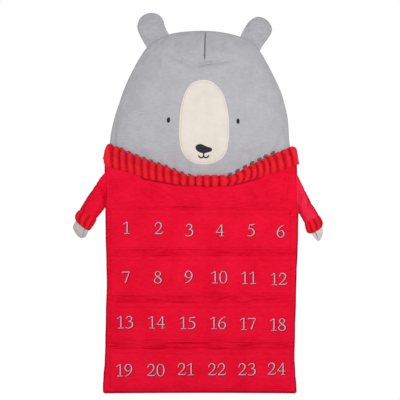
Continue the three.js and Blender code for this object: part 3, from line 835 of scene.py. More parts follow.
def side_line(pixels):
    """A function that gives the x of an edge of the body by its level."""
    spots = all_seen(pixels)
    falls = [-spot.y for spot in spots]

    def edge(z):
        index = stretch_at(falls, -z)
        high, low = spots[index - 1], spots[index]
        return high.x + (low.x - high.x) * eased(high.y, low.y, z)

    return edge


left_edge = side_line([
    (104.1, 150), (104.3, 170), (105, 200), (105.3, 235), (106.1, 262), (106.5, 284),
    (105.6, 314), (105, 345), (104.4, 363), (103.2, 376), (102.6, 386), (102.7, 394),
])
right_edge = side_line([
    (296.8, 150), (297.4, 170), (298.8, 205), (298.4, 235), (297.8, 255), (296.9, 272),
    (296.3, 300), (295.4, 330), (294.8, 358), (295.6, 374), (296.7, 386), (297, 394),
])
body_folds = folds_from([
    (148, 184, 176, 202, 0.007, -0.0012),
    (142, 190, 166, 204, 0.006, 0.0010),
    (172, 188, 182, 206, 0.006, 0.0008),
    (246, 186, 262, 214, 0.006, -0.0010),
    (232, 188, 240, 206, 0.006, 0.0008),
    (112, 176, 118, 206, 0.006, 0.0009),
    (288, 172, 284, 206, 0.006, -0.0010),
    (140, 177.4, 180, 184.2, 0.0026, -0.0034),
    (168, 183.2, 214, 185.2, 0.0026, -0.0034),
    (204, 185.2, 240, 183.2, 0.0026, -0.0034),
    (228, 184.8, 262, 176.8, 0.0026, -0.0034),
    (112, 253, 146, 254.5, 0.004, -0.0020),
    (150, 252.5, 182, 255, 0.005, 0.0012),
    (205, 255.5, 262, 254, 0.004, -0.0024),
    (112, 299, 150, 298, 0.004, -0.0022),
    (152, 299.5, 186, 301, 0.004, 0.0012),
    (200, 298, 240, 300, 0.004, -0.0018),
    (164, 345.5, 214, 344.5, 0.004, -0.0024),
    (210, 347, 252, 345, 0.004, 0.0012),
    (256, 346.5, 288, 345.5, 0.004, -0.0016),
])
strip_tops = [-0.4145, -0.525875, -0.63725, -0.748625]
mouth_crease_heights = [0.0016, 0.0032, 0.0034, 0.0030]
mouth_crease_foot = (-0.001, 0.003)
mouth_crease_top = (0.010, 0.022)
deepest_crease = 0.0015
body_ripple = 0.0009


def mouth_creases(x, z):
    """Level creases in the body's cloth, drawn up just above each row of pocket mouths."""
    for top, height in zip(strip_tops, mouth_crease_heights):
        near = eased(*mouth_crease_foot, z - top) * (1 - eased(*mouth_crease_top, z - top))
        if near > 0:
            return near * noise.noise(Vector((x * 14, top * 50, z * 170))) * height
    return 0


def body_depth(x, z):
    """Depth of the front panel's face."""
    ripple = noise.noise(Vector((x * 12, 0, z * 20))) * body_ripple
    relief = folds(x, z, body_folds) + mouth_creases(x, z) + ripple
    return panel_depth + max(relief, -deepest_crease)


def shaped_sheet(columns, rows, place):
    """A cloth: a flat grid, each point of which is laid by its shares across and up."""
    mesh = bmesh.new()
    mesh.loops.layers.uv.new("cloth")
    bmesh.ops.create_grid(mesh, x_segments=columns, y_segments=rows, size=0.5, calc_uvs=True)
    for point in mesh.verts:
        point.co = place(point.co.x + 0.5, point.co.y + 0.5)
    return mesh


def thicken(made, thickness):
    """A wall behind a cloth's face."""
    wall = made.modifiers.new("thickness", "SOLIDIFY")
    wall.thickness = thickness
    wall.offset = -1


edge_crowding = 0.135


def edge_crowded(share):
    """Shares that lie closer together near both edges."""
    return share - edge_crowding * sin(2 * pi * share)


def hem_at(x):
    """The body's lower edge: its two ends hang a little lower, and their corners are rounded."""
    from_side = min(x - left_edge(hem_level), right_edge(hem_level) - x)
    corner = hem_corner * (1 - rounded_edge(from_side, hem_corner))
    return hem_level - hem_droop * (x / body_half) ** 2 + corner


def panel_spot(across, up, inset):
    """A place on the body's outline, drawn in by an inset."""
    level = hem_level + up * (neck_level(0) - hem_level)
    for _ in range(2):
        left = left_edge(level) + inset
        right = right_edge(level) - inset
        x = left + (right - left) * across
        top = neck_level(x) - inset
        bottom = hem_at(x) + inset
        level = bottom + (top - bottom) * up
    return Vector((x, level))


def body_front_place(across, up):
    """A point of the velour front, whose edges are turned back to the felt."""
    across, up = edge_crowded(across), edge_crowded(up)
    spot = panel_spot(across, up, 0)
    from_sides = min(spot.x - left_edge(spot.y), right_edge(spot.y) - spot.x)
    from_hem = (spot.y - hem_at(spot.x)) * panel_turn / hem_turn
    edge = min(from_sides, from_hem, neck_level(spot.x) - spot.y)
    low = felt_thickness + sewn_gap
    face = body_depth(spot.x, spot.y)
    return at_depth(spot, low + (face - low) * rounded_edge(edge, panel_turn))


def mark_turned(made, power):
    """Stores how far each part of a cloth turns away from the front, for painted shade: a low power
    spreads it.
    """
    edge_shade = made.data.attributes.new("edge_shade", "FLOAT", "POINT")
    for index, point in enumerate(made.data.vertices):
        edge_shade.data[index].value = max(1 - abs(point.normal.y), 0) ** power


def velour(name, bright, deep, edge_shade):
    """Short red pile, brushed in faint level streaks, with painted shade where the cloth turns away
    from the front.
    """
    finish = new_finish(name, roughness=0.95, sheen=0.16, sheen_colour=(1, 0.05, 0.1, 1), shine=0.03)
    tree = finish.node_tree
    brushed = grain(tree, size=0.0035, stretch=(0.25, 1, 1), detail=3)
    clouds = grain(tree, size=0.06, detail=3)
    pile = grain(tree, size=0.0006, detail=2)
    lit = blended(tree, blended(tree, clouds, brushed, share=0.55), pile, share=0.25)
    edge_shade_share = add_node(tree, "Attribute", {}, attribute_name="edge_shade").outputs["Fac"]
    tone = calculated(tree, "SUBTRACT", lit, edge_shade_share)
    relief = blended(tree, pile, brushed, share=0.35)
    colours = tinted(tree, tone, [(0.05, edge_shade), (0.3, deep), (0.7, bright)])
    return dress(finish, colours, relief, rise=0.0006)


# The last colour of each velour is painted shade, for where its cloth turns away from the front.
red_velour = velour("red_velour", dyed(246, 25, 61), dyed(218, 9, 40), dyed(172, 3, 30))
# A paler copy of the red velour: painted light, for the right sleeve.
painted_light_velour = velour("painted_light_velour", dyed(252, 47, 82), dyed(230, 29, 59), dyed(176, 6, 36))
pocket_velour = velour("pocket_velour", dyed(245, 23, 59), dyed(217, 8, 38), dyed(196, 5, 34))

front_mesh = shaped_sheet(150, 270, body_front_place)
body_front = piece_of("body_front", front_mesh, red_velour, ["front_panel"])
mark_turned(body_front, power=0.45)
thicken(body_front, velour_thickness)


def felt(name, bright, deep):
    """Pressed felt: matted fibres without a direction."""
    finish = new_finish(name, roughness=1.0, sheen=0.05, sheen_colour=(1, 0.3, 0.3, 1))
    tree = finish.node_tree
    fibres = grain(tree, size=0.0015, detail=5)
    tone = blended(tree, grain(tree, size=0.02, detail=3), fibres, share=0.6)
    return dress(finish, tinted(tree, tone, [(0.3, deep), (0.7, bright)]), fibres, rise=0.0004)


felt_inset = 0.0008
red_felt = felt("red_felt", dyed(222, 24, 50), dyed(198, 14, 36))


def body_back_place(across, up):
    """A point of the felt back, which lies flat on the wall and faces it."""
    return at_depth(panel_spot(1 - edge_crowded(across), edge_crowded(up), felt_inset), 0)


back_mesh = shaped_sheet(60, 70, body_back_place)
body_back = piece_of("body_back", back_mesh, red_felt, ["back_panel"])
thicken(body_back, felt_thickness)

interlining_inset = 0.0024
white_batting = felt("white_batting", dyed(243, 243, 240), dyed(228, 228, 224))


def interlining_place(across, up):
    """A point of the interlining's face, just over the felt."""
    depth = felt_thickness + sewn_gap + interlining_thickness
    return at_depth(panel_spot(across, up, interlining_inset), depth)


interlining_mesh = shaped_sheet(24, 28, interlining_place)
interlining = piece_of(
    "interlining_sheet", interlining_mesh, white_batting, ["interlining"]
)
thicken(interlining, interlining_thickness)


# Pockets
# Four strips of velour across the body. Each is sewn down along its lower edge, its ends and five
# upright lines, so that it makes six pockets, and its mouth is hemmed and hangs a little slack.

strip_half = 0.217
strip_height = 0.095375
pockets_in_row = 6
pocket_pitch = 2 * strip_half / pockets_in_row
pocket_gape = 0.0085
pocket_climbs = [0.008, 0.008, 0.010, 0.026]
pocket_seam_height = 0.003
pocket_seam_relief = -0.0012
pocket_seam_half_width = 0.0012
pocket_ripple = 0.0010
pocket_crease = 0.0005
mouth_dip = 0.0016
mouth_wander = 0.0018
mouth_hem_height = 0.012
mouth_hem_relief = 0.0010
mouth_hem_step = 0.002
mouth_stitch_relief = -0.0005
mouth_stitch_half_width = 0.0016
gape_shares = [
    [0.36, 0.44, 0.34, 0.36, 0.42, 0.30],
    [0.30, 0.42, 0.36, 0.84, 0.78, 0.38],
    [0.82, 0.64, 0.42, 0.70, 0.48, 0.36],
    [0.38, 0.58, 0.72, 0.80, 0.70, 0.34],
]
strip_back = panel_depth + sewn_gap


def pocket_at(x):
    """Which of a row's pockets lies at a place, and the share of its width there."""
    across = (x + strip_half) / pocket_pitch
    pocket = min(max(int(across), 0), pockets_in_row - 1)
    return pocket, clamped(across - pocket)


def mouth_level(row, x):
    """The mouth's upper edge, which dips a little over each slack pocket."""
    pocket, share = pocket_at(x)
    dip = sin(pi * share) ** 2
    wander = noise.noise(Vector((x * 9, row * 7.3, 0))) * mouth_wander
    return strip_tops[row] - mouth_dip * dip * gape_shares[row][pocket] + wander


def strip_depth(row, x, z):
    """Depth of a pocket strip's face."""
    pocket, share = pocket_at(x)
    fullness = sin(pi * share) ** 1.3
    height = z - (strip_tops[row] - strip_height)
    rise = 1 - exp(-max(height - pocket_seam_height, 0) / pocket_climbs[row])
    slack = pocket_gape * gape_shares[row][pocket] * fullness * rise
    below_mouth = mouth_level(row, x) - z
    hem_top = mouth_hem_height - mouth_hem_step
    hem = mouth_hem_relief * (1 - eased(hem_top, mouth_hem_height, below_mouth))
    stitched = mouth_stitch_relief * bell(below_mouth - mouth_hem_height, mouth_stitch_half_width)
    seam = pocket_seam_relief * bell(height - pocket_seam_height, pocket_seam_half_width)
    ripple = noise.noise(Vector((x * 14, row * 3.7, z * 22))) * pocket_ripple * fullness * rise
    crease = noise.noise(Vector((x * 60, row, z * 12))) * pocket_crease * rise
    return strip_back + velour_thickness + slack + hem + stitched + seam + ripple + crease


def pocket_face(row, lift=0.0):
    """A function that gives the depth of one strip's face, or a little in front of it."""

    def depth(x, z):
        return strip_depth(row, x, z) + lift

    return depth


strip_edge_radius = 0.0016
strip_edge_drop = 0.0007
lip_height = 0.0018
lip_relief = 0.0012


def strip_place(row):
    """The places on a strip's face: its edges are rounded, and its mouth has a rolled lip."""

    def place(across, up):
        x = -strip_half + 2 * strip_half * across
        bottom = strip_tops[row] - strip_height
        z = bottom + (mouth_level(row, x) - bottom) * edge_crowded(up)
        edge = min(strip_half - abs(x), z - bottom)
        drop = strip_edge_drop * (1 - rounded_edge(edge, strip_edge_radius))
        lip = eased(lip_height, 0, mouth_level(row, x) - z) * lip_relief
        return Vector((x, -(strip_depth(row, x, z) - drop - lip), z))

    return place


red_thread = satin_thread("red_thread", dyed(234, 18, 50), dyed(216, 9, 38), 0.0005, 0, 0.05)
seam_pitch = 0.0034
seam_thread_width = 0.0006
seam_sink = 0.0002
seam_inset = 0.003
seam_below_mouth = 0.002
mouth_seam_steps = 120
inner_half = strip_half - seam_inset
for row in range(len(strip_tops)):
    strip_mesh = shaped_sheet(252, 60, strip_place(row))
    nodes = [f"pocket_row_{row + 1}"]
    strip = piece_of(f"pockets_{row + 1}", strip_mesh, pocket_velour, nodes)
    thicken(strip, velour_thickness)
    seams = bmesh.new()
    lower = strip_tops[row] - strip_height + pocket_seam_height
    lines = [[Vector((-inner_half, lower)), Vector((inner_half, lower))], []]
    for step in range(mouth_seam_steps + 1):
        x = inner_half * (2 * step / mouth_seam_steps - 1)
        lines[1].append(Vector((x, mouth_level(row, x) - mouth_hem_height)))
    for division in range(pockets_in_row + 1):
        x = min(max(-strip_half + pocket_pitch * division, -inner_half), inner_half)
        lines.append([Vector((x, lower)), Vector((x, mouth_level(row, x) - seam_below_mouth))])
    for line in lines:
        stitch_row(seams, line, seam_pitch, seam_thread_width, pocket_face(row, -seam_sink))
    piece_of(f"pocket_seams_{row + 1}", seams, red_thread)

side_stitch_inset = 0.0068
hem_stitch_height = 0.0055
hem_stitch_end = 0.008
side_stitch_steps = 60
hem_stitch_steps = 20
side_stitch_top_row = 219
side_stitch_top = seen(middle_column, side_stitch_top_row).y
side_stitch_foot = hem_level + hem_stitch_end
body_stitches = bmesh.new()
for edge, inset in ((left_edge, side_stitch_inset), (right_edge, -side_stitch_inset)):
    line = []
    for step in range(side_stitch_steps + 1):
        level = side_stitch_top + (side_stitch_foot - side_stitch_top) * step / side_stitch_steps
        line.append(Vector((edge(level) + inset, level)))
    stitch_row(body_stitches, line, seam_pitch, seam_thread_width, body_depth)
hem_line = []
for step in range(hem_stitch_steps + 1):
    x = (body_half - hem_stitch_end) * (2 * step / hem_stitch_steps - 1)
    hem_line.append(Vector((x, hem_at(x) + hem_stitch_height)))
stitch_row(body_stitches, hem_line, seam_pitch, seam_thread_width, body_depth)
piece_of("body_topstitch", body_stitches, red_thread)


# Numerals
# The days 1 to 24, machine embroidered on the pockets in silver-grey thread: old-style serif
# figures whose strokes swell and thin, over a slightly wider underlay of dark thread.

digit_height = 0.0286
digit_narrowing = 0.96
stroke_share = 0.76
# A point of a stroke has an x, a height and a width, in hundredths of a figure's height.
digit_strokes = {
    "0": [
        [
            (0, 100, 7.5), (-17, 93, 10), (-27, 72, 15), (-29, 50, 16), (-27, 28, 15), (-17, 7, 10),
            (0, 0, 7.5), (17, 7, 10), (27, 28, 15), (29, 50, 16), (27, 72, 15), (17, 93, 10),
            (0, 100, 7.5),
        ],
    ],
    "1": [
        [(-30, 80, 7), (-16, 86, 8), (-2, 95, 10), (5, 100, 10)],
        [(5, 100, 13), (5, 60, 15), (5, 3, 15)],
        [(-22, 1, 7), (5, 2, 10), (31, 1, 7)],
    ],
    "2": [
        [
            (-31, 66, 10), (-27, 83, 10), (-12, 97, 11), (6, 97, 13), (20, 85, 15.5), (22, 68, 15),
            (13, 48, 12), (-8, 26, 9), (-33, 4, 8),
        ],
        [(-35, 5, 8), (-10, 5, 12.5), (18, 5, 12.5), (29, 8, 10)],
        [(27, 6, 8), (33, 14, 7), (36, 24, 6)],
    ],
    "3": [
        [
            (-28, 80, 8), (-16, 94, 10), (2, 99, 12), (19, 90, 15), (21, 74, 14), (8, 61, 10),
            (-7, 55, 7),
        ],
        [
            (-7, 56, 7), (12, 54, 11), (28, 42, 15.5), (29, 25, 16), (17, 8, 13), (-3, 1, 10),
            (-20, 2, 9), (-33, 10, 10),
        ],
    ],
    "4": [
        [(16, 100, 9), (-4, 70, 8), (-21, 47, 7.5), (-33, 33, 7)],
        [(-35, 31, 8.5), (-5, 31, 10), (38, 31, 8.5)],
        [(16, 100, 12), (16, 60, 15), (16, 2, 15)],
        [(-2, 1, 6.5), (16, 2, 8), (34, 1, 6.5)],
    ],
    "5": [
        [(-13, 93, 11), (5, 93, 13), (22, 95, 12), (31, 102, 7)],
        [(-12, 95, 8), (-17, 76, 7.5), (-22, 60, 7)],
        [
            (-22, 60, 7), (-5, 62, 10), (14, 55, 14), (27, 38, 16), (24, 18, 15), (7, 4, 11),
            (-13, 0, 9), (-32, 5, 10),
        ],
    ],
    "6": [
        [
            (32, 100, 7), (10, 93, 9), (-12, 76, 12), (-26, 52, 15), (-28, 28, 16), (-16, 7, 12),
            (2, 0, 9), (20, 8, 12), (29, 28, 15.5), (22, 48, 14), (5, 57, 10), (-12, 52, 7),
            (-24, 40, 6),
        ],
    ],
    "7": [
        [(-33, 84, 7), (-30, 93, 9), (-24, 95, 10)],
        [(-30, 94, 11), (0, 94, 12.5), (32, 95, 10)],
        [(31, 97, 8), (18, 66, 11), (5, 32, 14), (-6, 2, 16)],
    ],
    "8": [
        [
            (1, 53, 14), (-17, 67, 13), (-22, 82, 12), (-12, 96, 9), (2, 99, 7.5), (17, 94, 10),
            (23, 80, 12), (16, 66, 9), (-2, 52, 7), (-20, 40, 9), (-30, 24, 13), (-21, 7, 11),
            (0, 0, 8), (21, 7, 12), (29, 24, 15.5), (20, 40, 16), (1, 53, 14),
        ],
    ],
    "9": [
        [
            (24, 60, 6), (12, 48, 7), (-5, 43, 10), (-22, 52, 14), (-29, 72, 15.5), (-20, 92, 12),
            (-2, 100, 9), (16, 93, 12), (28, 72, 16), (26, 48, 15), (12, 24, 12), (-10, 7, 9),
            (-32, 0, 7),
        ],
    ],
}
number_places = [
    (126.5, 227.7), (158.7, 228.3), (189.2, 230.2), (220.1, 230.2), (251.0, 230.1), (280.8, 231.4),
    (125.9, 277.4), (157.8, 277.4), (188.7, 277.1), (219.2, 277.3), (248.7, 277.9), (278.9, 279.1),
    (125.0, 322.3), (156.8, 322.4), (187.5, 323.0), (218.0, 323.0), (247.9, 323.9), (278.0, 324.7),
    (124.1, 370.5), (155.8, 370.3), (185.9, 369.3), (217.0, 369.5), (247.0, 369.5), (276.8, 369.0),
]
numeral_depth = 0.015
digit_gap = 0.0012
embroidery_rise = 0.0009
underlay_rise = 0.0005
underlay_extra = 0.0024
# The dark underlay is the thread's own colour; its shift down and to the right paints a shadow along
# the figures' lower right edges.
underlay_shadow_shift = Vector((0.0006, -0.0005))

silver_thread = satin_thread("silver_thread", dyed(255, 210, 219), dyed(238, 170, 184), 0.0006, 30, 0.3)
dark_thread = satin_thread("dark_thread", dyed(130, 26, 46), dyed(104, 16, 34), 0.0006, 30, 0.1)


def stroke_points(stroke):
    """A stroke's places and widths in metres, from its hundredths."""
    return [
        Vector((x / 100 * digit_narrowing, z / 100, width / 100)) * digit_height
        for x, z, width in stroke
    ]


def digit_span(digit):
    """The left and right ends of a digit's strokes."""
    points = [point for stroke in digit_strokes[digit] for point in stroke_points(stroke)]
    return min(spot.x - spot.z / 2 for spot in points), max(spot.x + spot.z / 2 for spot in points)


for day, (column, picture_row) in enumerate(number_places, start=1):
    row = (day - 1) // pockets_in_row
    centre = seen(column, picture_row, numeral_depth)
    figures = bmesh.new()
    underlay = bmesh.new()
    digits = str(day)
    spans = [digit_span(digit) for digit in digits]
    whole = sum(right - left for left, right in spans) + digit_gap * (len(digits) - 1)
    reached = centre.x - whole / 2
    for digit, (left, right) in zip(digits, spans):
        origin = Vector((reached - left, centre.y - digit_height / 2))
        reached += right - left + digit_gap
        for stroke in digit_strokes[digit]:
            bent = curve_through(stroke_points(stroke), parts=5)
            path = [origin + point.xy for point in bent]
            widths = [point.z * stroke_share for point in bent]
            raised = pocket_face(row, underlay_rise / 2)
            thread_line(figures, path, widths, raised, embroidery_rise, around=6)
            below = [spot + underlay_shadow_shift for spot in path]
            wider = [width + underlay_extra for width in widths]
            thread_line(underlay, below, wider, pocket_face(row), underlay_rise, around=6)
    piece_of(f"numeral_{day}", figures, silver_thread)
    piece_of(f"numeral_{day}_underlay", underlay, dark_thread)


# Collar
# A plump band of ribbed red plush, folded over a stuffing and sewn along the neck seam. Its ribs
# stand nearly upright and fan a little, and its ends are tucked in.

rib_crests = [
    109.7, 116.9, 124, 131.2, 139, 146.1, 153.3, 160.8, 168.3, 176.1, 183.9, 191.6, 199.1, 206.8,
    214.6, 223, 231.1, 237.9, 245.3, 252.1, 258.5, 264.9, 271.3, 278.7, 286.5, 293.4,
]
collar_ends = (103.1, 299.2)


def level_line(pixels, depth):
    """A function that gives the level of a line of columns and rows by its x."""
    spots = all_seen(pixels, depth)
    places = [spot.x for spot in spots]

    def level(x):
        index = stretch_at(places, x)
        left, right = spots[index - 1], spots[index]
        share = clamped((x - left.x) / (right.x - left.x))
        return left.y + (right.y - left.y) * share

    return level


collar_middle_depth = 0.02
collar_top = level_line([
    (103.1, 158), (103.8, 152.4), (104.7, 149), (106, 145.6), (107.6, 143.7), (110.4, 143.3),
    (113, 144.8), (116.9, 146.6), (124, 150), (131.4, 153.4), (138.5, 156.3), (145.9, 158.9),
    (153.4, 161.7), (160.8, 164.3), (168.3, 167), (176.2, 170.3), (183.7, 173.4), (190.7, 175.4),
    (198.6, 175.2), (207.7, 174.8), (215.4, 174.7), (223.5, 174.9), (230.2, 175.6), (234.2, 173.6),
    (238.8, 171.2), (244.5, 167.9), (252.2, 164), (257.9, 161.3), (264.6, 157.9), (271.3, 154.7),
    (279, 151.6), (285.7, 148.8), (289.4, 146.9), (292.6, 145.8), (296, 147.3), (297.6, 151.4),
    (298.3, 156.8), (298.8, 160.8), (299.2, 163.8),
], collar_middle_depth)
collar_bottom = level_line([
    (103.1, 158.6), (103.8, 163.4), (105, 166), (112, 167.8), (119.8, 169.8), (133.1, 173.9),
    (143.8, 178.1), (154.6, 180.6), (163.7, 181.8), (171.2, 183.5), (179.5, 185.2), (195, 186.3),
    (211, 186.9), (227.3, 186.3), (234.5, 184.9), (241.7, 182.7), (249.3, 180.4), (257, 177.8),
    (264.6, 175.5), (273.3, 173.2), (280.9, 170.8), (287.9, 168), (294, 165.4), (299.2, 164.2),
], collar_middle_depth)
collar_thickness = 0.0125
collar_groove = 0.0052
notch_above = 0.0050
notch_above_right = 0.0030
notch_below = 0.0074
notch_change = (0.07, 0.09)
notched_middle = 0.0156
notched_half = 0.062
notch_fade = 0.02
end_rounding = 0.012
end_thickness = 0.3
top_plumpness = 0.3
bow_right = 0.0070
bow_right_span = (0.03, 0.075)
bow_left = 0.0020
bow_left_span = (0.02, 0.09)
outer_span = (0.09, 0.2)
outer_bow_loss = 0.65
rib_lean_right = 0.03
rib_lean_outer = 0.22
lean_unevenness = 0.08
thickness_unevenness = 0.12
just_under = 0.9999
neck_blend = (-0.006, 0.016)
collar_clearance = 0.0006
edge_pile = 0.0008
fine_pile = 0.0010
coarse_pile = 0.0014
half_ribs = [collar_ends[0]]
for crest, following in zip(rib_crests, rib_crests[1:] + [2 * collar_ends[1] - rib_crests[-1]]):
    half_ribs += [crest, (crest + following) / 2]
rib_unevenness = [noise.noise(Vector((rib * 3.7, 0.5, 0))) for rib in range(len(rib_crests) + 1)]


def rib_profile(phase, power):
    """The height of a plump rib over its width: 1 on its crest and 0 in the grooves beside it."""
    return (1 - abs(2 * phase - 1) ** 2.4) ** power


def rib_fullness(share):
    """1 on the crest of a rib, 0 in the groove between two, and 1 out to the collar's two ends."""
    rib = min(max(share * len(rib_crests), 0.5), len(rib_crests) - 0.5)
    return rib_profile(rib % 1, 0.55)


def rib_lean(x):
    """How far the ribs lean over at a place, and how far they bow out in the middle of their height."""
    if x < 0:
        return 0, -bow_left * eased(*bow_left_span, -x)
    outer = eased(*outer_span, x)
    bow = bow_right * eased(*bow_right_span, x) * (1 - outer_bow_loss * outer)
    return rib_lean_right + rib_lean_outer * outer, bow


def squared_off(wave, power):
    """A sine or cosine bent squarer by a power below 1."""
    return abs(wave) ** power * (1 if wave > 0 else -1)


def along_line(line, share):
    """Which stretch of a line lies at a share of its points, and how far along that stretch."""
    position = share * (len(line) - 1)
    index = min(int(position), len(line) - 2)
    return index, position - index


def collar_place(across, around):
    """A point of the collar by its shares across and around, where a groove joins the rib before it."""
    index, share = along_line(half_ribs, across)
    column = half_ribs[index] + (half_ribs[index + 1] - half_ribs[index]) * share
    x = seen(column, hook_row, collar_middle_depth).x
    fullness = rib_fullness(across)
    uneven = rib_unevenness[int(across * len(rib_crests) * just_under)]
    angle = 2 * pi * around
    upward = squared_off(sin(angle), 0.8)
    if upward > 0:
        notch = notch_above + (notch_above_right - notch_above) * eased(*notch_change, x)
    else:
        from_middle = abs(x - notched_middle)
        notch = notch_below * (1 - eased(notched_half, notched_half + notch_fade, from_middle))
    lean, bow = rib_lean(x)
    upright = (collar_top(x) - collar_bottom(x)) / 2
    x += bow * (1 - upward**2) - (lean + lean_unevenness * uneven) * upward * upright
    top, bottom = collar_top(x), collar_bottom(x)
    notch = min(notch * (1 - fullness) * abs(upward), (top - bottom) / 3)
    up = upward * (top - bottom) / 2 - notch * (1 if upward > 0 else -1)
    spot = Vector((x, (top + bottom) / 2 + up))
    pile = Vector((spot.x, 4, spot.y))
    spot.x += noise.noise(pile * 210) * edge_pile
    spot.y += noise.noise(pile * 190) * edge_pile * abs(upward)
    ending = rounded_edge(min(across, 1 - across), end_rounding)
    neck = neck_level(spot.x)
    over_head = eased(neck + neck_blend[0], neck + neck_blend[1], spot.y)
    rest = strip_back
    if over_head > 0:
        rest += max(head_depth(spot.x, spot.y) + collar_clearance - strip_back, 0) * over_head
    thick = collar_thickness * (1 + thickness_unevenness * uneven) - collar_groove * (1 - fullness)
    thick *= (end_thickness + (1 - end_thickness) * ending) * (1 + top_plumpness * upward)
    fuzz = noise.noise(pile * 320) * fine_pile + noise.noise(pile * 130) * coarse_pile
    return at_depth(spot, rest + (thick + fuzz) * max(cos(angle), 0) ** 0.75)


def tube_mesh(along, around, place):
    """A closed tube, of so many squares along and around it."""
    mesh = shaped_sheet(along, around, place)
    seal(mesh)
    return mesh


def plush(name, axis, ribs, highlight_shift, crest, slope, groove):
    """Deep red pile in ribs, with painted shade in the grooves and a painted highlight on each rib's
    outer flank.
    """
    finish = new_finish(name, roughness=1.0, sheen=0.35, sheen_colour=(1, 0.12, 0.12, 1), shine=0.03)
    tree = finish.node_tree
    lie = add_node(tree, "UVMap", {}, uv_map="cloth").outputs[0]
    across = add_node(tree, "SeparateXYZ", {0: lie}).outputs[axis]
    phase = calculated(tree, "MULTIPLY_ADD", across, 2 * pi * ribs - 2 * highlight_shift, highlight_shift)
    wave = calculated(tree, "COSINE", phase)
    crests = calculated(tree, "MULTIPLY_ADD", wave, -0.5, 0.5)
    tufts = grain(tree, size=0.0032, detail=4)
    tone = blended(tree, crests, tufts, share=0.6)
    colours = tinted(tree, tone, [(0.26, groove), (0.45, slope), (0.70, crest)])
    relief = blended(tree, tufts, grain(tree, size=0.0007), share=0.4)
    return dress(finish, colours, relief, rise=0.0016)


# Lighter crests and darker grooves: a painted highlight and painted shade on the collar's red.
plush_reds_lit_and_shaded = dyed(244, 40, 54), dyed(228, 26, 45), dyed(190, 8, 28)
ribbed_plush = plush("ribbed_plush", "X", len(rib_crests), 0.9, *plush_reds_lit_and_shaded)
collar_mesh = tube_mesh(520, 60, collar_place)
collar = piece_of("ribbed_collar", collar_mesh, ribbed_plush, ["collar"])

# Painted shadows of the ribs on the head above the collar's edge, drawn as dark grey grains. Each kind
# has a length, a height, a climb and a lift over the collar's edge.
rib_shadow_left = (0.0112, 0.0054, -0.4, 0.0012)
rib_shadow_right = (0.0144, 0.0084, 0.48, 0.0032)
rib_shadow_rise = 0.0024
rib_shadow_aside = 1.9
rib_shadow_run = 0.88
rib_shadow_columns = (229.9, 237.5, 244.8, 251.9, 259.4, 265.5, 272.6)
ribs_with_painted_shadow = rib_crests[2:12]
rib_shadow_spots = [(crest - rib_shadow_aside, rib_shadow_left) for crest in ribs_with_painted_shadow]
rib_shadow_spots += [(column, rib_shadow_right) for column in rib_shadow_columns]
rib_shadows = bmesh.new()
for column, (length, height, climb, lift) in rib_shadow_spots:
    x = seen(column, hook_row, collar_middle_depth).x
    centre = Vector((x, 0, collar_top(x) + lift))
    along = Vector((rib_shadow_run, 0, climb))
    add_stitch(rib_shadows, centre, along, length, rib_shadow_rise, height)
for point in rib_shadows.verts:
    point.co.y -= head_depth(point.co.x, point.co.z)
# Their grey is painted shadow.
rib_shadow_greys = dyed(126, 121, 126), dyed(96, 91, 97)
rib_shadow_finish = satin_thread("rib_shadow_finish", *rib_shadow_greys, 0.0013, 50, 0.05)
piece_of("collar_rib_shadows", rib_shadows, rib_shadow_finish)


# Arms
# Each is a small stuffed velour sleeve, hung on a seam at the body's side, and it swings there. It
# ends in a cuff of the collar's ribbed plush and a mitten paw of pale jersey. The right sleeve's
# velour is painted paler, as painted light from the right.

arm_depth = panel_depth
sewn_edge = (0.78, 0.94)
sewn_end = (2, 5)
fuzz_aside = 0.6


def limb_lines(rungs):
    """The two side edges of a limb and its depths, through rungs with two ends and two depths."""
    lefts = curve_through([seen(rung[0], rung[1]) for rung in rungs])
    rights = curve_through([seen(rung[2], rung[3]) for rung in rungs])
    depths = curve_through([Vector(rung[4:]) for rung in rungs])
    return lefts, rights, depths


def limb_place(rungs, plump_at, fuzz=0.0):
    """The places on a limb by their shares along and around it, and how plump it is there."""
    lefts, rights, depths = limb_lines(rungs)

    def place(along, around):
        index, share = along_line(lefts, along)
        left = lefts[index].lerp(lefts[index + 1], share)
        right = rights[index].lerp(rights[index + 1], share)
        front, back = depths[index].lerp(depths[index + 1], share)
        angle = 2 * pi * around
        plump = plump_at(along, around)
        half = (right - left) / 2
        grown = half * (1 + plump / max(half.length, 1e-4))
        spot = (left + right) / 2 + grown * cos(angle)
        lift = (front + plump if sin(angle) > 0 else back) * sin(angle)
        rough = noise.noise(Vector((spot.x, lift, spot.y)) * 260) * fuzz
        spot.x += rough * fuzz_aside
        return at_depth(spot, arm_depth + lift + rough)

    return place


def limb_seam(rungs):
    """A function that is 1 where a point lies on a limb's sewn edges or ends, and else 0."""
    lefts, rights, _ = limb_lines(rungs)
    middles = [(left + right) / 2 for left, right in zip(lefts, rights)]

    def sewn(point):
        spot = Vector((point.x, point.z))
        index = min(range(len(middles)), key=lambda place: (middles[place] - spot).length)
        across = (spot - middles[index]).length / (rights[index] - middles[index]).length
        from_end = min(index, len(middles) - 1 - index)
        return max(eased(*sewn_edge, across), 1 - eased(*sewn_end, from_end))

    return sewn


def limb_piece(name, mesh, finish, body, nodes):
    """A finished padded part of an arm."""
    made = piece_of(name, mesh, finish, nodes, body)
    return made


sleeve_wrinkle = 0.0012
sleeve_crease = 0.0006


def sleeve_folds(seed):
    """The wrinkles of one sleeve, which start from nothing at its shoulder."""

    def plump_at(along, around):
        ring = Vector((0, cos(2 * pi * around), sin(2 * pi * around)))
        wrinkle = noise.noise(Vector((along * 4 + seed, 0, 0)) + ring)
        crease = noise.noise(Vector((along * 11 + seed, seed, 0)) + ring * 0.8)
        from_shoulder = sin(pi * min(along * 1.2, 1)) ** 0.5
        return (sleeve_wrinkle * wrinkle + sleeve_crease * crease) * from_shoulder

    return plump_at


cuff_ribs = 9
cuff_rib_height = 0.0020
cuff_sink = 0.0004


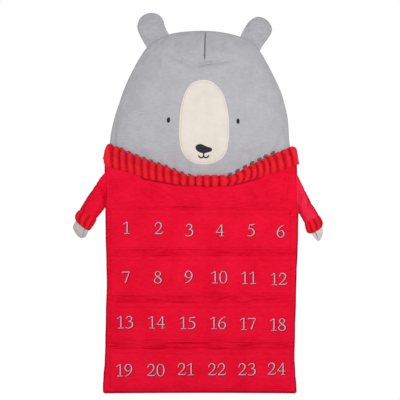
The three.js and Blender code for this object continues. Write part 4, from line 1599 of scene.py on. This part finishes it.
def cuff_plump(along, around):
    """The ribs round a cuff, and its rounded edges."""
    crest = rib_profile(around * cuff_ribs % 1, 0.7)
    return cuff_rib_height * crest * sin(pi * min(max(along, 0.02), 0.98)) ** 0.4 - cuff_sink


palm_crease_width = 0.036


def palm_crease(turn, deep):
    """The crease down a mitten, at so many turns around it."""

    def plump_at(along, around):
        return -deep * bell(around - turn, palm_crease_width) * sin(pi * clamped(along)) ** 0.5

    return plump_at


# The cuffs' reds paint a highlight on each rib's crest and shade in the grooves between.
cuff_reds_lit_and_shaded = dyed(238, 32, 50), dyed(222, 20, 42), dyed(188, 8, 30)
cuff_plush = plush("cuff_plush", "Y", cuff_ribs, 0, *cuff_reds_lit_and_shaded)
# The paws' jersey comes in two copies: the right one painted paler as painted light, the left one
# darker as painted shade.
paw_jerseys_lit_and_shaded = {
    "left": jersey("paw_jersey_left_painted_shade", dyed(204, 199, 198), dyed(177, 172, 172)),
    "right": jersey("paw_jersey_right_painted_light", dyed(226, 221, 217), dyed(198, 193, 191)),
}

# A rung has the column and row of both of its ends, and its depths in front and behind.
arm_rungs = {
    "left": {
        "sleeve": [
            (105.8, 171.8, 106.7, 206.3, 0.0010, 0.0010), (103.6, 173.8, 105.6, 206.9, 0.0036, 0.0028),
            (96.9, 181.7, 103.8, 209.4, 0.0100, 0.0048), (91.3, 190.8, 101.3, 212.5, 0.0128, 0.0054),
            (85.7, 199.6, 98.9, 215.4, 0.0130, 0.0054), (80.7, 207.7, 96.6, 218.2, 0.0122, 0.0052),
            (79.8, 209.8, 95.0, 219.8, 0.0110, 0.0048),
        ],
        "cuff": [
            (81.2, 209.6, 96.0, 218.6, 0.0100, 0.0040), (79.2, 210.6, 96.2, 219.4, 0.0130, 0.0048),
            (76.7, 213.4, 95.2, 221.9, 0.0142, 0.0050), (75.3, 217.2, 92.2, 226.6, 0.0140, 0.0050),
            (76.2, 221.4, 89.6, 230.0, 0.0120, 0.0046), (79.2, 225.0, 88.0, 230.4, 0.0090, 0.0034),
        ],
        "paw": [
            (78.0, 218.4, 90.4, 226.4, 0.0080, 0.0028), (74.8, 222.4, 88.6, 230.2, 0.0090, 0.0032),
            (72.8, 227.3, 87.1, 233.8, 0.0086, 0.0032), (74.6, 231.8, 85.8, 236.4, 0.0066, 0.0028),
            (77.4, 236.0, 84.2, 237.6, 0.0040, 0.0020), (80.0, 237.9, 82.6, 238.1, 0.0010, 0.0008),
        ],
    },
    "right": {
        "sleeve": [
            (296.8, 213.0, 296.4, 173.4, 0.0010, 0.0010), (298.8, 214.6, 298.7, 177.1, 0.0036, 0.0028),
            (301.2, 217.2, 302.4, 184.6, 0.0100, 0.0048), (302.9, 219.7, 307.5, 195.0, 0.0126, 0.0054),
            (304.2, 222.2, 313.4, 205.4, 0.0128, 0.0054), (305.4, 224.0, 318.1, 213.8, 0.0120, 0.0052),
            (306.7, 226.0, 319.4, 217.4, 0.0108, 0.0048),
        ],
        "cuff": [
            (305.6, 222.8, 318.2, 215.2, 0.0100, 0.0040), (305.2, 224.0, 319.2, 215.8, 0.0130, 0.0048),
            (306.2, 227.8, 321.4, 219.4, 0.0142, 0.0050), (307.4, 231.4, 322.6, 223.6, 0.0140, 0.0050),
            (309.0, 233.2, 322.0, 226.6, 0.0120, 0.0046), (311.4, 233.6, 320.6, 229.2, 0.0090, 0.0034),
        ],
        "paw": [
            (309.6, 229.4, 320.8, 224.4, 0.0080, 0.0028), (311.0, 232.2, 322.3, 228.0, 0.0090, 0.0032),
            (312.8, 235.2, 323.0, 232.4, 0.0086, 0.0032), (315.2, 238.4, 322.2, 235.8, 0.0066, 0.0028),
            (316.9, 240.1, 320.8, 239.0, 0.0040, 0.0020), (318.0, 241.0, 319.6, 240.8, 0.0010, 0.0008),
        ],
    },
}
sleeve_seeds = {"left": 3.1, "right": 8.4}
# The right sleeve takes the velour painted paler as painted light.
sleeve_piles = {"left": red_velour, "right": painted_light_velour}
palm_creases = {"left": palm_crease(0.13, 0.0060), "right": palm_crease(0.35, 0.0085)}
cuff_fuzz = 0.0014
for side, rungs in arm_rungs.items():
    body = f"arm_{side}"
    sleeve = tube_mesh(72, 48, limb_place(rungs["sleeve"], sleeve_folds(sleeve_seeds[side])))
    swell(sleeve, limb_seam(rungs["sleeve"]), square=0.003, slack=0.04, limit=0.003)
    nodes = [f"sleeve_{side}", f"arm_filling_{side}"]
    pile = sleeve_piles[side]
    made = limb_piece(f"stuffed_sleeve_{side}", sleeve, pile, body, nodes)
    mark_turned(made, power=1.3)
    cuff = tube_mesh(40, 126, limb_place(rungs["cuff"], cuff_plump, cuff_fuzz))
    limb_piece(f"ribbed_cuff_{side}", cuff, cuff_plush, body, [f"cuff_{side}"])
    mitten = tube_mesh(40, 72, limb_place(rungs["paw"], palm_creases[side]))
    limb_piece(f"mitten_{side}", mitten, paw_jerseys_lit_and_shaded[side], body, [f"paw_{side}"])


# Hanging loop
# A narrow cloth tape, bent to a loop. Both of its feet are tacked to the head's back panel with
# bar tacks, and it flips over on them.

loop_tape_width = 0.0045
loop_tape_thickness = 0.003
loop_bend = 0.01025
loop_rise = 0.028
loop_foot = -0.036
loop_depth = 0.00195
loop_leg_middle = loop_foot + 0.014
loop_bend_steps = 12
loop_path = [Vector((-loop_bend, loop_foot)), Vector((-loop_bend, loop_leg_middle))]
for step in range(loop_bend_steps + 1):
    turn = pi * (1 - step / loop_bend_steps)
    loop_path.append(Vector((loop_bend * cos(turn), loop_foot + loop_rise + loop_bend * sin(turn))))
loop_path += [Vector((loop_bend, loop_leg_middle)), Vector((loop_bend, loop_foot))]
loop_line = curve_through(loop_path, parts=4)


def loop_place(along, around):
    """A point of the tape, whose section is a rectangle with rounded corners."""
    index, share = along_line(loop_line, along)
    start, end = loop_line[index], loop_line[index + 1]
    run = (end - start).normalized()
    across = Vector((-run.y, run.x))
    angle = 2 * pi * around
    aside = squared_off(cos(angle), 0.4) * loop_tape_width / 2
    through = squared_off(sin(angle), 0.4) * loop_tape_thickness / 2
    return at_depth(start.lerp(end, share) + across * aside, loop_depth + through)


loop_tape = cloth_weave("loop_tape", dyed(208, 207, 211), dyed(186, 185, 190), 0.0011)
loop_mesh = tube_mesh(96, 16, loop_place)
piece_of("hanging_tape", loop_mesh, loop_tape, ["hanging_loop"], body="loop")

tack_heights = (0.0022, 0.0032, 0.0042, 0.0052)
tack_thickness = 0.0009
tack_thread = satin_thread("tack_thread", dyed(150, 149, 154), dyed(126, 125, 130), 0.0005, 0, 0.2)
tacks = bmesh.new()
for foot in (-loop_bend, loop_bend):
    for height in tack_heights:
        centre = Vector((foot, -loop_depth + loop_tape_thickness / 2, loop_foot + height))
        add_stitch(tacks, centre, Vector((1, 0, 0)), loop_tape_width, tack_thickness)
piece_of("loop_bar_tacks", tacks, tack_thread, body="loop")
